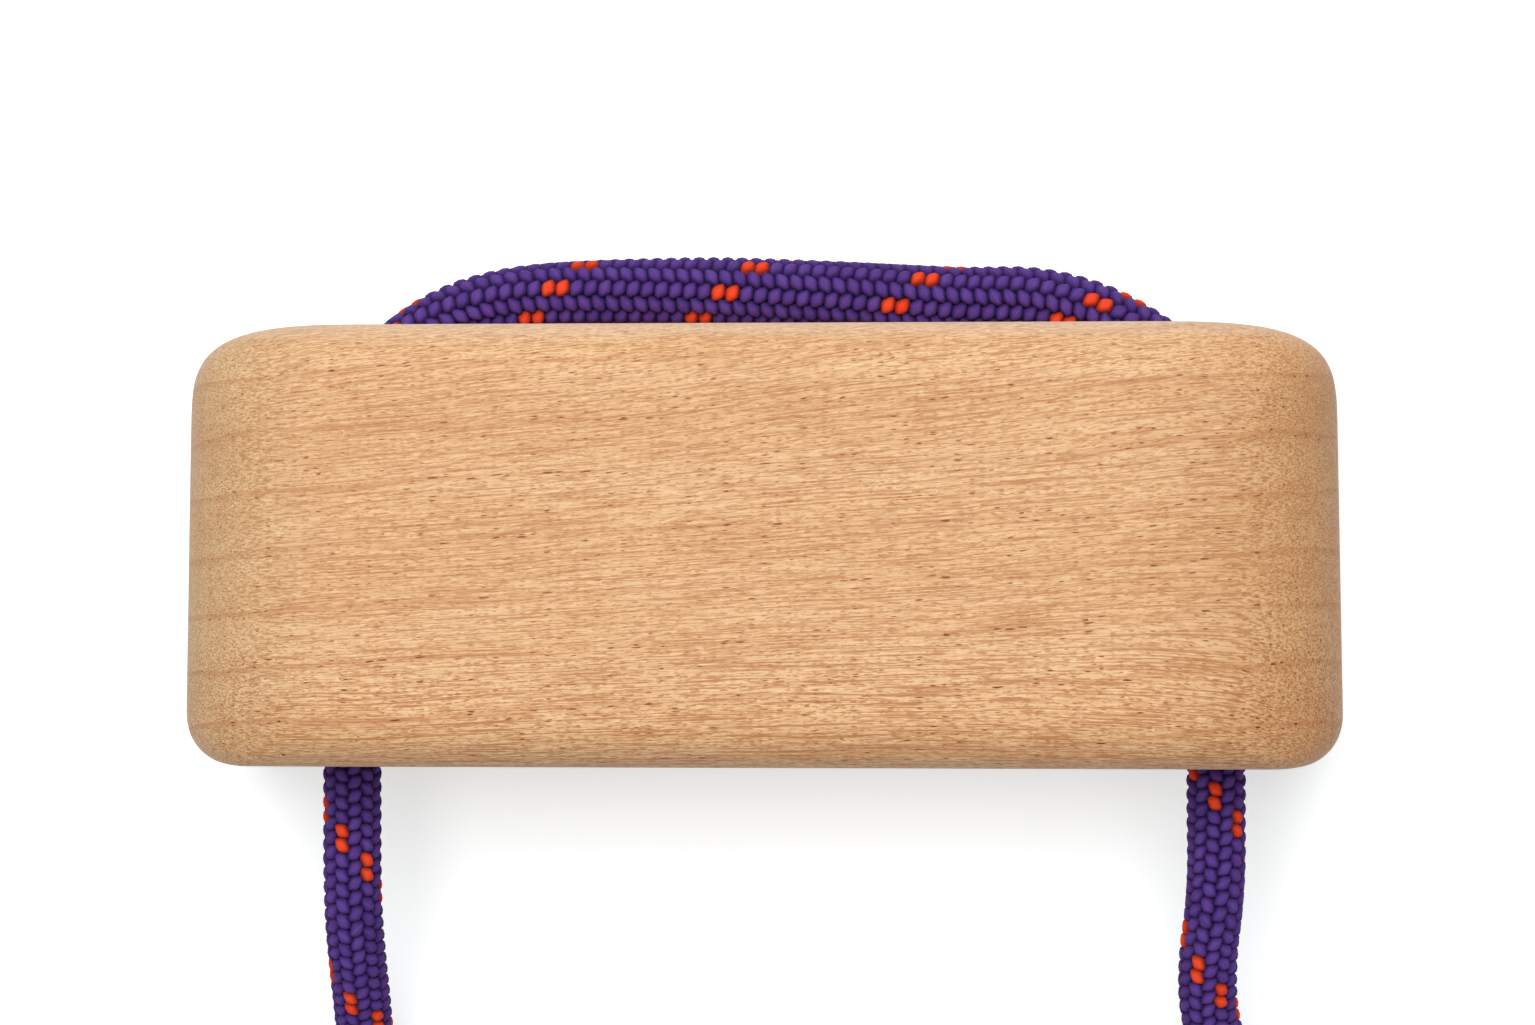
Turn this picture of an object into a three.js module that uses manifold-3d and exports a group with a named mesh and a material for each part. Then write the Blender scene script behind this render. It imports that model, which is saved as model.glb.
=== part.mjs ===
// Portable hangboard: a rounded hardwood block on one braided cord.
// Millimetres, +Z up. The block lies on its back on z = 0, with +X to its right and +Y from the
// cord's two legs towards the cord's bridge. The origin is under the middle of block and bridge.

import * as THREE from "three";
import { mergeVertices } from "three/addons/utils/BufferGeometryUtils.js";
import Module from "manifold-3d";

const wasm = await Module();
wasm.setup();

// Driving dimensions
const BLOCK_WIDTH = 135.5;
const BLOCK_HEIGHT = 51.5;
const BLOCK_DEPTH = 38;
const CORD_DIAMETER = 7;
const SEAT_GAP = 0.3;

// Block: its outline seen from the front, and how its edges are eased
const SIDE_LEAN = 0.9;
const TOP_CORNER_LENGTH = 21.1;
const TOP_CORNER_DROP = 11.8;
const TOP_CORNER_POWER = 3.6;
const BOTTOM_CORNER_RADIUS = 5.9;
const END_EASE_LENGTH = 14;
const END_EASE_DEPTH = 12;
const EDGE_EASE = 6.4;
const BACK_EASE = 5;

// Bores: two straight holes between the bottom and the top edge
const BORE_DIAMETER = 9.5;
const BORE_END_DISTANCE = 16.5;
const BORE_SHIFT = 2;
const BORE_AXIS_HEIGHT = 19;
const BORE_MOUTH_EASE = 3.8;
const CHANNEL_CLEARANCE = 1.2;

// Finger pocket in the back face, between the bores
const POCKET_BORE_WALL = 4.5;
const POCKET_HEIGHT = 24;
const POCKET_DEPTH = 20;
const POCKET_LIP_EASE = 4;
const POCKET_FLOOR_EASE = 5;

// Bridge: the stretch of cord over the top edge
const BRIDGE_LIFT = 4.4;

// Legs: straight out of the bores, then down
const LEG_STRAIGHT = 12;

// Coil: the stored length, wound in two layers
const COIL_CENTRE_DROP = 86;
const COIL_CENTRE_SHIFT = -12;
const COIL_OUTER_RADIUS = 44;
const COIL_TURNS = 4.25;
const REVERSAL_TURNS = 0.5;
const WOUND_GAP = 0.5;
const SURFACE_GAP = 0.05;

// Knot: a double fisherman's bend that joins the two ends
const KNOT_SHIFT = 50.5;
const KNOT_HALF_LENGTH = 27;
const KNOT_TURNS = 1.87;
const RUN_BEND = 16;
const RUN_SAG = 3;

// How finely round shapes are faceted
const CORNER_STEPS = 9;
const EASE_STEPS = 7;
const BORE_SIDES = 24;
const POCKET_END_STEPS = 12;
const PLAIN_SIDES = 8;
const CHANNEL_SIDES = 12;
const CHANNEL_STEPS = 48;
const THROUGH_STEPS = 42;
const LEFT_LEG_STEPS = 14;
const RIGHT_LEG_STEPS = 12;
const RUN_STEPS = 14;
const RUN_BEND_STEPS = 5;
const WOUND_SIDES = 6;
const WOUND_STEPS = 24;
const KNOT_HALF_STEPS = 82;

// Places that follow from the sizes
const CORD_RADIUS = CORD_DIAMETER / 2;
const BRIDGE_RISE = BRIDGE_LIFT + CORD_RADIUS;
const BLOCK_Y = -BRIDGE_RISE / 2;
const BLOCK_TOP = BLOCK_Y + BLOCK_HEIGHT / 2;
const BLOCK_BOTTOM = BLOCK_Y - BLOCK_HEIGHT / 2;
const BORE_SPACING = BLOCK_WIDTH - 2 * BORE_END_DISTANCE;
const POCKET_LENGTH = BORE_SPACING - BORE_DIAMETER - 2 * POCKET_BORE_WALL;
const LEFT_BORE_X = BORE_SHIFT - BORE_SPACING / 2;
const RIGHT_BORE_X = BORE_SHIFT + BORE_SPACING / 2;
const TURN_PITCH = CORD_DIAMETER + WOUND_GAP;
const LOW_LAYER = CORD_RADIUS + SURFACE_GAP;
const COIL_X = BORE_SHIFT + COIL_CENTRE_SHIFT;
const COIL_Y = BLOCK_BOTTOM - COIL_CENTRE_DROP;
const COIL_FOOT_Y = COIL_Y - COIL_OUTER_RADIUS;
const CORE_OFFSET = (CORD_DIAMETER + SEAT_GAP) / 2;
const WRAP_RADIUS = CORD_DIAMETER + SEAT_GAP;
const KNOT_X = BORE_SHIFT + KNOT_SHIFT;
const KNOT_Y = COIL_FOOT_Y + RUN_BEND + CORD_DIAMETER + SEAT_GAP + KNOT_HALF_LENGTH;
const KNOT_Z = CORD_RADIUS + WRAP_RADIUS + SURFACE_GAP;

// The bridge's route. Across: shares of the bore spacing from the left bore. Up: shares of the
// bridge's lift over the top edge, below zero inside the block.
const bridgeShares = [
  [0, -3.2],
  [0.013, -1.75],
  [0.057, -0.6],
  [0.114, 0.22],
  [0.199, 0.79],
  [0.39, 1],
  [0.55, 0.91],
  [0.706, 0.73],
  [0.797, 0.66],
  [0.868, 0.2],
  [0.93, -0.6],
  [0.987, -1.75],
  [1, -3.2],
];
// Inside a bore: shares of the way from its bottom mouth to where the bridge's route begins.
const boreShares = [0, 0.34, 0.67];
// Each leg's way down after its straight stretch: shares of its way along, across and down.
const leftLegShares = [
  [0.1, 0, 0.06],
  [0.2, 0, 0.24],
  [0.3, 0.01, 0.49],
  [0.4, 0.05, 0.73],
  [0.52, 0.2, 0.92],
  [0.66, 0.5, 0.99],
  [0.83, 0.87, 1],
];
const rightLegShares = [
  [0.15, -0.1, 0.05],
  [0.3, -0.28, 0.22],
  [0.48, -0.28, 0.5],
  [0.65, 0.1, 0.78],
  [0.82, 0.68, 0.96],
];
// The run's level stretch along the coil's foot: shares of the way to its bend.
const runShares = [0.2, 0.5, 0.8];
// Half a knot's core: shares of the half's length, from its end towards the knot's middle.
const coreShares = [1, 0.6, 0.3];
// Half a knot's turn outwards from its core, and its tuck and tail, as shares of the diameter:
// across, along and up from the knot's middle.
const turnOutShares = [
  [-0.63, -0.46, -0.09],
  [-1.04, -0.06, -0.37],
  [-1.46, 0.26, -0.37],
];
const tailShares = [
  [-1.34, 2.89, -0.31],
  [-1, 3.26, -0.03],
  [-0.64, 3.64, 0],
  [-0.56, 4.1, 0],
  [-0.74, 4.8, -0.12],
  [-1.05, 5.4, -0.34],
  [-1.4, 5.95, -0.5],
];

const wood = new THREE.MeshStandardMaterial({ color: 0xe0b285, roughness: 0.62, metalness: 0 });
const braid = new THREE.MeshStandardMaterial({ color: 0x5c4286, roughness: 0.8, metalness: 0 });

// A geometry with only merged positions, its faces turned outwards.
function closed(geometry) {
  const bare = geometry.index ? geometry.toNonIndexed() : geometry;
  bare.deleteAttribute("normal");
  bare.deleteAttribute("uv");
  const merged = mergeVertices(bare);
  const place = merged.attributes.position;
  const index = merged.index.array;
  const corner = [new THREE.Vector3(), new THREE.Vector3(), new THREE.Vector3()];
  let volume = 0;
  for (let i = 0; i < index.length; i += 3) {
    corner.forEach((point, k) => point.fromBufferAttribute(place, index[i + k]));
    volume += corner[0].dot(corner[1].cross(corner[2])) / 6;
  }
  if (volume < 0) {
    for (let i = 0; i < index.length; i += 3) {
      [index[i], index[i + 1]] = [index[i + 1], index[i]];
    }
  }
  return merged;
}

// A closed geometry through rings of points of one length, with a flat cap at each end.
function skin(rings) {
  const count = rings[0].length;
  const position = rings.flat().flatMap((point) => [point.x, point.y, point.z]);
  const index = [];
  for (let r = 0; r + 1 < rings.length; r++) {
    for (let k = 0; k < count; k++) {
      const a = r * count + k;
      const b = r * count + ((k + 1) % count);
      index.push(a, b, b + count, a, b + count, a + count);
    }
  }
  const last = (rings.length - 1) * count;
  for (let k = 1; k + 1 < count; k++) {
    index.push(0, k + 1, k);
    index.push(last, last + k, last + k + 1);
  }
  const geometry = new THREE.BufferGeometry();
  geometry.setAttribute("position", new THREE.Float32BufferAttribute(position, 3));
  geometry.setIndex(index);
  return closed(geometry);
}

function toSolid(geometry) {
  const vertProperties = new Float32Array(geometry.attributes.position.array);
  const triVerts = new Uint32Array(geometry.index.array);
  return new wasm.Manifold(new wasm.Mesh({ numProp: 3, vertProperties, triVerts }));
}

function toGeometry(solid) {
  const mesh = solid.getMesh();
  const geometry = new THREE.BufferGeometry();
  geometry.setAttribute("position", new THREE.Float32BufferAttribute(mesh.vertProperties, 3));
  geometry.setIndex(new THREE.Uint32BufferAttribute(mesh.triVerts, 1));
  return geometry;
}

function polygon(radius, sides) {
  const shape = new THREE.Shape();
  for (let k = 0; k < sides; k++) {
    const angle = (2 * Math.PI * k) / sides;
    const go = k ? "lineTo" : "moveTo";
    shape[go](radius * Math.cos(angle), radius * Math.sin(angle));
  }
  shape.closePath();
  return shape;
}

// A tube along a smooth curve through the points, with square ends.
function tube(points, radius, sides, steps) {
  const extrudePath = new THREE.CatmullRomCurve3(points);
  const options = { steps, extrudePath, bevelEnabled: false };
  return closed(new THREE.ExtrudeGeometry(polygon(radius, sides), options));
}

function plainCord(points, steps) {
  return tube(points, CORD_RADIUS, PLAIN_SIDES, steps);
}

// A wound tube through every one of its points, its rings carried along without twist.
function woundTube(points) {
  const ways = points.map((point, i) => {
    const before = points[Math.max(i - 1, 0)];
    const after = points[Math.min(i + 1, points.length - 1)];
    return after.clone().sub(before).normalize();
  });
  let side = new THREE.Vector3(0, 0, 1);
  const rings = points.map((point, i) => {
    side = side.clone().addScaledVector(ways[i], -side.dot(ways[i])).normalize();
    const across = ways[i].clone().cross(side);
    return Array.from({ length: WOUND_SIDES }, (_, k) => {
      const angle = (2 * Math.PI * k) / WOUND_SIDES;
      return point
        .clone()
        .addScaledVector(side, CORD_RADIUS * Math.cos(angle))
        .addScaledVector(across, CORD_RADIUS * Math.sin(angle));
    });
  });
  return skin(rings);
}

// The least gap between two stretches of cord, or of one with itself, measured on its points.
function leastGap(first, second) {
  let least = Infinity;
  const along = [0];
  for (let i = 1; i < first.length; i++) {
    along.push(along[i - 1] + first[i].distanceTo(first[i - 1]));
  }
  first.forEach((a, i) => {
    second.forEach((b, j) => {
      const apart = first !== second || Math.abs(along[i] - along[j]) > 2 * CORD_DIAMETER;
      least = apart ? Math.min(least, a.distanceTo(b)) : least;
    });
  });
  return least - CORD_DIAMETER;
}

// The block's outline at a height where its ends and its long edges stand back by the insets.
function blockOutline(endInset, edgeInset, z) {
  const halfWidth = BLOCK_WIDTH / 2 - endInset;
  const halfHeight = BLOCK_HEIGHT / 2 - edgeInset;
  const quarter = Array.from({ length: CORNER_STEPS + 1 }, (_, k) => {
    const angle = (Math.PI / 2) * (k / CORNER_STEPS);
    return [Math.cos(angle), Math.sin(angle)];
  });
  const power = 2 / TOP_CORNER_POWER;
  const top = quarter.map(([c, s]) => [
    halfWidth - TOP_CORNER_LENGTH * (1 - Math.max(c, 0) ** power),
    halfHeight - TOP_CORNER_DROP * (1 - s ** power),
  ]);
  const bottom = quarter.map(([c, s]) => [
    halfWidth - BOTTOM_CORNER_RADIUS * (1 - s),
    -halfHeight + BOTTOM_CORNER_RADIUS * (1 - c),
  ]);
  const right = [...bottom, ...top];
  const left = right.map(([x, y]) => [-x, y]).reverse();
  return [...right, ...left].map(([x, y]) => {
    const climb = (y + BLOCK_HEIGHT / 2) / BLOCK_HEIGHT;
    const narrowed = x * (1 - (SIDE_LEAN * climb) / (BLOCK_WIDTH / 2));
    return new THREE.Vector3(narrowed, BLOCK_Y + y, z);
  });
}

// How far an eased edge has drawn back at a depth below the face that it runs out to.
function easeInset(depthLeft, easeDepth, easeLength) {
  const share = Math.max(0, 1 - depthLeft / easeDepth);
  return easeLength * (1 - Math.sqrt(1 - share ** 2));
}

// Depths below a face at which an eased edge gets an outline, from its start up to the face.
function easeDepths(easeDepth) {
  return Array.from({ length: EASE_STEPS + 1 }, (_, k) => {
    return easeDepth * (1 - Math.sin((Math.PI / 2) * (k / EASE_STEPS)));
  });
}

function roundedBlock() {
  const back = easeDepths(BACK_EASE).reverse();
  const front = [...new Set([...easeDepths(END_EASE_DEPTH), ...easeDepths(EDGE_EASE)])];
  front.sort((a, b) => b - a);
  const backRings = back.map((depth) => {
    const inset = easeInset(depth, BACK_EASE, BACK_EASE);
    return blockOutline(inset, inset, depth);
  });
  const frontRings = front.map((depth) => {
    const endInset = easeInset(depth, END_EASE_DEPTH, END_EASE_LENGTH);
    return blockOutline(endInset, easeInset(depth, EDGE_EASE, EDGE_EASE), BLOCK_DEPTH - depth);
  });
  return skin([...backRings, ...frontRings]);
}

// The pocket's outline: two half circles joined by straight sides, drawn in by an inset.
function pocketOutline(inset, z) {
  const radius = POCKET_HEIGHT / 2 - inset;
  const reach = POCKET_LENGTH / 2 - POCKET_HEIGHT / 2;
  const points = [];
  for (const side of [1, -1]) {
    for (let k = 0; k <= POCKET_END_STEPS; k++) {
      const angle = Math.PI * (k / POCKET_END_STEPS - 0.5);
      const x = side * (reach + radius * Math.cos(angle));
      const y = side * radius * Math.sin(angle);
      points.push(new THREE.Vector3(BORE_SHIFT + x, BLOCK_Y + y, z));
    }
  }
  return points;
}

function pocketCutter() {
  const mouth = pocketOutline(-POCKET_LIP_EASE, -POCKET_LIP_EASE);
  const lip = easeDepths(POCKET_LIP_EASE).reverse().map((depth) => {
    const inset = -easeInset(depth, POCKET_LIP_EASE, POCKET_LIP_EASE);
    return pocketOutline(inset, depth);
  });
  const floor = easeDepths(POCKET_FLOOR_EASE).map((depth) => {
    const inset = easeInset(depth, POCKET_FLOOR_EASE, POCKET_FLOOR_EASE);
    return pocketOutline(inset, POCKET_DEPTH - depth);
  });
  return skin([mouth, ...lip, ...floor]);
}

// A straight bore with an eased mouth at each edge of the block.
function boreCutter(x) {
  const radius = BORE_DIAMETER / 2;
  const half = BLOCK_HEIGHT / 2;
  const wide = radius + BORE_MOUTH_EASE;
  const upper = easeDepths(BORE_MOUTH_EASE).map((depth) => {
    const spread = easeInset(depth, BORE_MOUTH_EASE, BORE_MOUTH_EASE);
    return [radius + spread, half - depth];
  });
  const overrun = half + BORE_MOUTH_EASE;
  const lower = upper.map(([r, y]) => [r, -y]).reverse();
  const profile = [[0, -overrun], [wide, -overrun], ...lower, ...upper, [wide, overrun]];
  profile.push([0, overrun]);
  const points = profile.map(([r, y]) => new THREE.Vector2(r, y));
  const geometry = new THREE.LatheGeometry(points, BORE_SIDES);
  geometry.translate(x, BLOCK_Y, BORE_AXIS_HEIGHT);
  return closed(geometry);
}

function bridgePoints() {
  return bridgeShares.map(([across, up]) => {
    const x = LEFT_BORE_X + across * BORE_SPACING;
    return new THREE.Vector3(x, BLOCK_TOP + up * BRIDGE_LIFT, BORE_AXIS_HEIGHT);
  });
}

// The cord inside the block and over its top edge, from one bottom mouth to the other.
function throughPoints() {
  const bend = bridgePoints();
  const inBore = (x, share) => {
    const y = THREE.MathUtils.lerp(BLOCK_BOTTOM, bend[0].y, share);
    return new THREE.Vector3(x, y, BORE_AXIS_HEIGHT);
  };
  const left = boreShares.map((share) => inBore(LEFT_BORE_X, share));
  const right = boreShares.map((share) => inBore(RIGHT_BORE_X, share)).reverse();
  return [...left, ...bend, ...right];
}

function buildBlock() {
  const channelRadius = CORD_RADIUS + CHANNEL_CLEARANCE;
  const channel = tube(bridgePoints(), channelRadius, CHANNEL_SIDES, CHANNEL_STEPS);
  const cutters = [boreCutter(LEFT_BORE_X), boreCutter(RIGHT_BORE_X), pocketCutter(), channel];
  let solid = toSolid(roundedBlock());
  for (const cutter of cutters) {
    solid = solid.subtract(toSolid(cutter));
  }
  return toGeometry(solid);
}

function straight(from, to) {
  return [from, from.clone().lerp(to, 0.5), to];
}

// A leg from the bore's bottom mouth at boreX down to the point where the next stretch begins.
function legPoints(boreX, end, legShares) {
  const start = new THREE.Vector3(boreX, BLOCK_BOTTOM - SEAT_GAP, BORE_AXIS_HEIGHT);
  const turn = start.clone().setY(start.y - LEG_STRAIGHT);
  const landing = end.clone().setY(end.y + CORD_DIAMETER);
  const way = legShares.map(([along, across, down]) => {
    const x = THREE.MathUtils.lerp(turn.x, landing.x, across);
    const y = THREE.MathUtils.lerp(turn.y, landing.y, along);
    return new THREE.Vector3(x, y, THREE.MathUtils.lerp(turn.z, landing.z, down));
  });
  return [...straight(start, turn), ...way, ...straight(landing, end)];
}

// The coil's points: in on the low layer, up in the half turn where it reverses, and out again.
function coilPoints() {
  const turnsIn = (COIL_TURNS - REVERSAL_TURNS) / 2;
  const inner = COIL_OUTER_RADIUS - TURN_PITCH * turnsIn;
  const dip = (TURN_PITCH * REVERSAL_TURNS) / Math.PI;
  const steps = Math.round(COIL_TURNS * WOUND_STEPS);
  const points = [];
  for (let step = 0; step <= steps; step++) {
    const turn = step / WOUND_STEPS;
    const angle = Math.PI * (1 + 2 * turn);
    const share = THREE.MathUtils.clamp((turn - turnsIn) / REVERSAL_TURNS, 0, 1);
    const inwards = Math.min(turn, turnsIn);
    const outwards = Math.max(turn - turnsIn - REVERSAL_TURNS, 0);
    const spiral = COIL_OUTER_RADIUS - TURN_PITCH * inwards + TURN_PITCH * outwards;
    const radius = Math.max(spiral, inner) - dip * Math.sin(Math.PI * share);
    const climb = (1 - Math.cos(Math.PI * share)) / 2;
    points.push(
      new THREE.Vector3(
        COIL_X + radius * Math.cos(angle),
        COIL_Y + radius * Math.sin(angle),
        LOW_LAYER + TURN_PITCH * climb,
      ),
    );
  }
  const first = points[0];
  const last = points[steps];
  const lead = first.clone().setY(first.y + CORD_DIAMETER);
  const trail = last.clone().setX(last.x + CORD_DIAMETER);
  return [lead, ...points, trail];
}

// From the coil's upper layer, along its foot and round a bend to the knot's lower end.
function runPoints(start, end) {
  const leave = start.clone().setX(start.x + CORD_DIAMETER);
  const enter = end.clone().setY(end.y - CORD_DIAMETER);
  const bendX = enter.x - RUN_BEND;
  const route = runShares.map((share) => {
    return new THREE.Vector3(THREE.MathUtils.lerp(leave.x, bendX, share), start.y, 0);
  });
  for (let k = 0; k < RUN_BEND_STEPS; k++) {
    const angle = (Math.PI / 2) * (k / RUN_BEND_STEPS);
    const x = bendX + RUN_BEND * Math.sin(angle);
    route.push(new THREE.Vector3(x, enter.y - RUN_BEND * Math.cos(angle), 0));
  }
  route.forEach((point, k) => {
    const share = (k + 1) / (route.length + 1);
    const level = THREE.MathUtils.lerp(start.z, end.z, share);
    point.setZ(level - RUN_SAG * Math.sin(Math.PI * share) ** 2);
  });
  return [...straight(start, leave), ...route, ...straight(enter, end)];
}

// A point on the wraps' path round the two strands of the core, by turns from its left end.
function wrapPoint(turns, y) {
  const quarter = (Math.PI / 2) * WRAP_RADIUS;
  const flat = 2 * CORE_OFFSET;
  const girth = 4 * quarter + 2 * flat;
  let way = (turns - Math.floor(turns)) * girth;
  const arc = (side, from) => {
    const angle = from - way / WRAP_RADIUS;
    const x = side * CORE_OFFSET + WRAP_RADIUS * Math.cos(angle);
    return new THREE.Vector3(x, y, WRAP_RADIUS * Math.sin(angle));
  };
  if (way < quarter) {
    return arc(-1, Math.PI);
  }
  way -= quarter;
  if (way < flat) {
    return new THREE.Vector3(way - CORE_OFFSET, y, WRAP_RADIUS);
  }
  way -= flat;
  if (way < 2 * quarter) {
    return arc(1, Math.PI / 2);
  }
  way -= 2 * quarter;
  if (way < flat) {
    return new THREE.Vector3(CORE_OFFSET - way, y, -WRAP_RADIUS);
  }
  way -= flat;
  return arc(-1, -Math.PI / 2);
}

// Half the knot, from its own middle: through the other half's core, out, twice round, and back
// into the core as a tail. The other half is this one turned end for end.
function knotHalfPoints() {
  const fromShares = ([x, y, z]) => new THREE.Vector3(x, y, z).multiplyScalar(CORD_DIAMETER);
  const core = coreShares.map((share) => {
    return new THREE.Vector3(-CORE_OFFSET, -KNOT_HALF_LENGTH * share, 0);
  });
  const firstWrap = CORD_RADIUS + WOUND_GAP;
  const wraps = [];
  const steps = Math.round(KNOT_TURNS * WOUND_STEPS);
  for (let step = 1; step <= steps; step++) {
    const turn = step / WOUND_STEPS;
    wraps.push(wrapPoint(turn, firstWrap + TURN_PITCH * turn));
  }
  const outwards = turnOutShares.map(fromShares);
  const tail = tailShares.map(fromShares);
  const rough = [...core, ...outwards, ...wraps, ...tail];
  const curve = new THREE.CatmullRomCurve3(rough);
  return curve.getSpacedPoints(KNOT_HALF_STEPS);
}

function placedHalf(points, turned) {
  const way = turned ? -1 : 1;
  return points.map((point) => {
    return new THREE.Vector3(KNOT_X + way * point.x, KNOT_Y + way * point.y, KNOT_Z + point.z);
  });
}

const part = new THREE.Group();

function addPiece(name, geometry, material) {
  const mesh = new THREE.Mesh(geometry, material);
  mesh.name = name;
  part.add(mesh);
}

const coil = coilPoints();
const upperHalf = placedHalf(knotHalfPoints(), false);
const lowerHalf = placedHalf(knotHalfPoints(), true);
const coilTop = coil[0].clone().setY(coil[0].y + SEAT_GAP);
const runStart = coil[coil.length - 1].clone();
runStart.x += SEAT_GAP;
const runEnd = upperHalf[0].clone().setY(upperHalf[0].y - SEAT_GAP);
const knotTop = lowerHalf[0].clone().setY(lowerHalf[0].y + SEAT_GAP);

const leftLeg = legPoints(LEFT_BORE_X, coilTop, leftLegShares);
const rightLeg = legPoints(RIGHT_BORE_X, knotTop, rightLegShares);
const run = runPoints(runStart, runEnd);

addPiece("block", buildBlock(), wood);
addPiece("cord_through_block", plainCord(throughPoints(), THROUGH_STEPS), braid);
addPiece("cord_leg_left", plainCord(leftLeg, LEFT_LEG_STEPS), braid);
addPiece("cord_coil", woundTube(coil), braid);
addPiece("cord_run_to_knot", plainCord(run, RUN_STEPS), braid);
addPiece("cord_leg_right", plainCord(rightLeg, RIGHT_LEG_STEPS), braid);
addPiece("knot_half_upper", woundTube(upperHalf), braid);
addPiece("knot_half_lower", woundTube(lowerHalf), braid);

console.log(`coil: least gap to itself ${leastGap(coil, coil).toFixed(2)} mm`);
console.log(`knot half: least gap to itself ${leastGap(upperHalf, upperHalf).toFixed(2)} mm`);
console.log(`knot halves: least gap to each other ${leastGap(upperHalf, lowerHalf).toFixed(2)} mm`);

export default part;
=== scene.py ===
import functools
import logging
import math
from collections.abc import Sequence
from dataclasses import dataclass, field
from enum import Enum

import bmesh
import bpy
import numpy as np
from mathutils import Matrix, Vector


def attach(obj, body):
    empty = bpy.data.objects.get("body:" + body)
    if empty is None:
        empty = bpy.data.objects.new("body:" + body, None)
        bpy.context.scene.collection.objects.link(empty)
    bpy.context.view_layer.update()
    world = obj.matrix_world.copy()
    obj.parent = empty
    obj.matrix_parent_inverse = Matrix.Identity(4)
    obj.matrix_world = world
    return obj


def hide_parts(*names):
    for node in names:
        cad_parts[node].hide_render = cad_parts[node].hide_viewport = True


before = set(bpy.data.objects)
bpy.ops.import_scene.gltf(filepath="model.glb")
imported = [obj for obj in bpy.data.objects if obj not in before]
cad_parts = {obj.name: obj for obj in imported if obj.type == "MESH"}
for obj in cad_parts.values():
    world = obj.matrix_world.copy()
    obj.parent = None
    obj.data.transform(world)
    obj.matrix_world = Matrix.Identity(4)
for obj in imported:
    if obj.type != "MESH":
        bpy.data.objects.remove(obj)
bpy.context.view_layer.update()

log = logging.getLogger("hangboard")

MM = 0.001
# Points of a line nearer than TINY are one point, and vertices of a closed shape nearer than
# MERGED are one vertex. A smooth curve takes no step from point to point as under LEAST_STEP.
TINY = 1e-6
MERGED = 1e-4
LEAST_STEP = 1e-4
NOISE_ROUGHNESS = 0.55
# How far a second reading of a pattern stands off from the first, so that they don't match.
APART = (31.0, 17.0, 5.0)

# A Ramp says where a change begins and ends, and from which value it goes to which (0 to 1
# where it doesn't say). A Tint is a colour as it looks. A Feed is a plain value or a Socket.
Points = np.ndarray
Triple = tuple[float, float, float]
Ramp = tuple[float, ...]
Tint = tuple[int, int, int]
Feed = object
Socket = bpy.types.NodeSocket
Piece = bpy.types.Object
Material = bpy.types.Material


class Body(Enum):
    """The two bodies that pieces ride on."""

    BLOCK = "block"
    CORD = "cord"


class Slot(Enum):
    """The record's material slots."""

    WOOD = "wood"
    CORD = "cord"


class Stretch(Enum):
    """The cord's stretches, named as their CAD nodes are."""

    UPPER_HALF = "knot_half_upper"
    RUN = "cord_run_to_knot"
    COIL = "cord_coil"
    LEFT_LEG = "cord_leg_left"
    THROUGH = "cord_through_block"
    RIGHT_LEG = "cord_leg_right"
    LOWER_HALF = "knot_half_lower"


class FarEnd(Enum):
    """What a stretch of cord ends in."""

    KNOT = "knot"
    OBJECT = "object"


class Lay(Enum):
    """How a stretch of cord lies."""

    LOOSE = "loose"
    COILED = "coiled"


class FloatDetail(Enum):
    """Facets round a braid float, and its rings from the rim to the crest."""

    NEAR = (14, 3)
    KNOTTED = (10, 2)
    STORED = (6, 2)


def srgb(red: int, green: int, blue: int) -> tuple[float, float, float, float]:
    """Turn a colour as it looks, 0 to 255, into the linear colour of a socket.

    Args:
        red: Red as seen.
        green: Green as seen.
        blue: Blue as seen.

    Returns:
        The linear colour with full alpha.
    """
    parts = []
    for value in (red, green, blue):
        share = value / 255
        parts.append(share / 12.92 if share <= 0.04045 else ((share + 0.055) / 1.055) ** 2.4)
    return (parts[0], parts[1], parts[2], 1.0)


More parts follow.
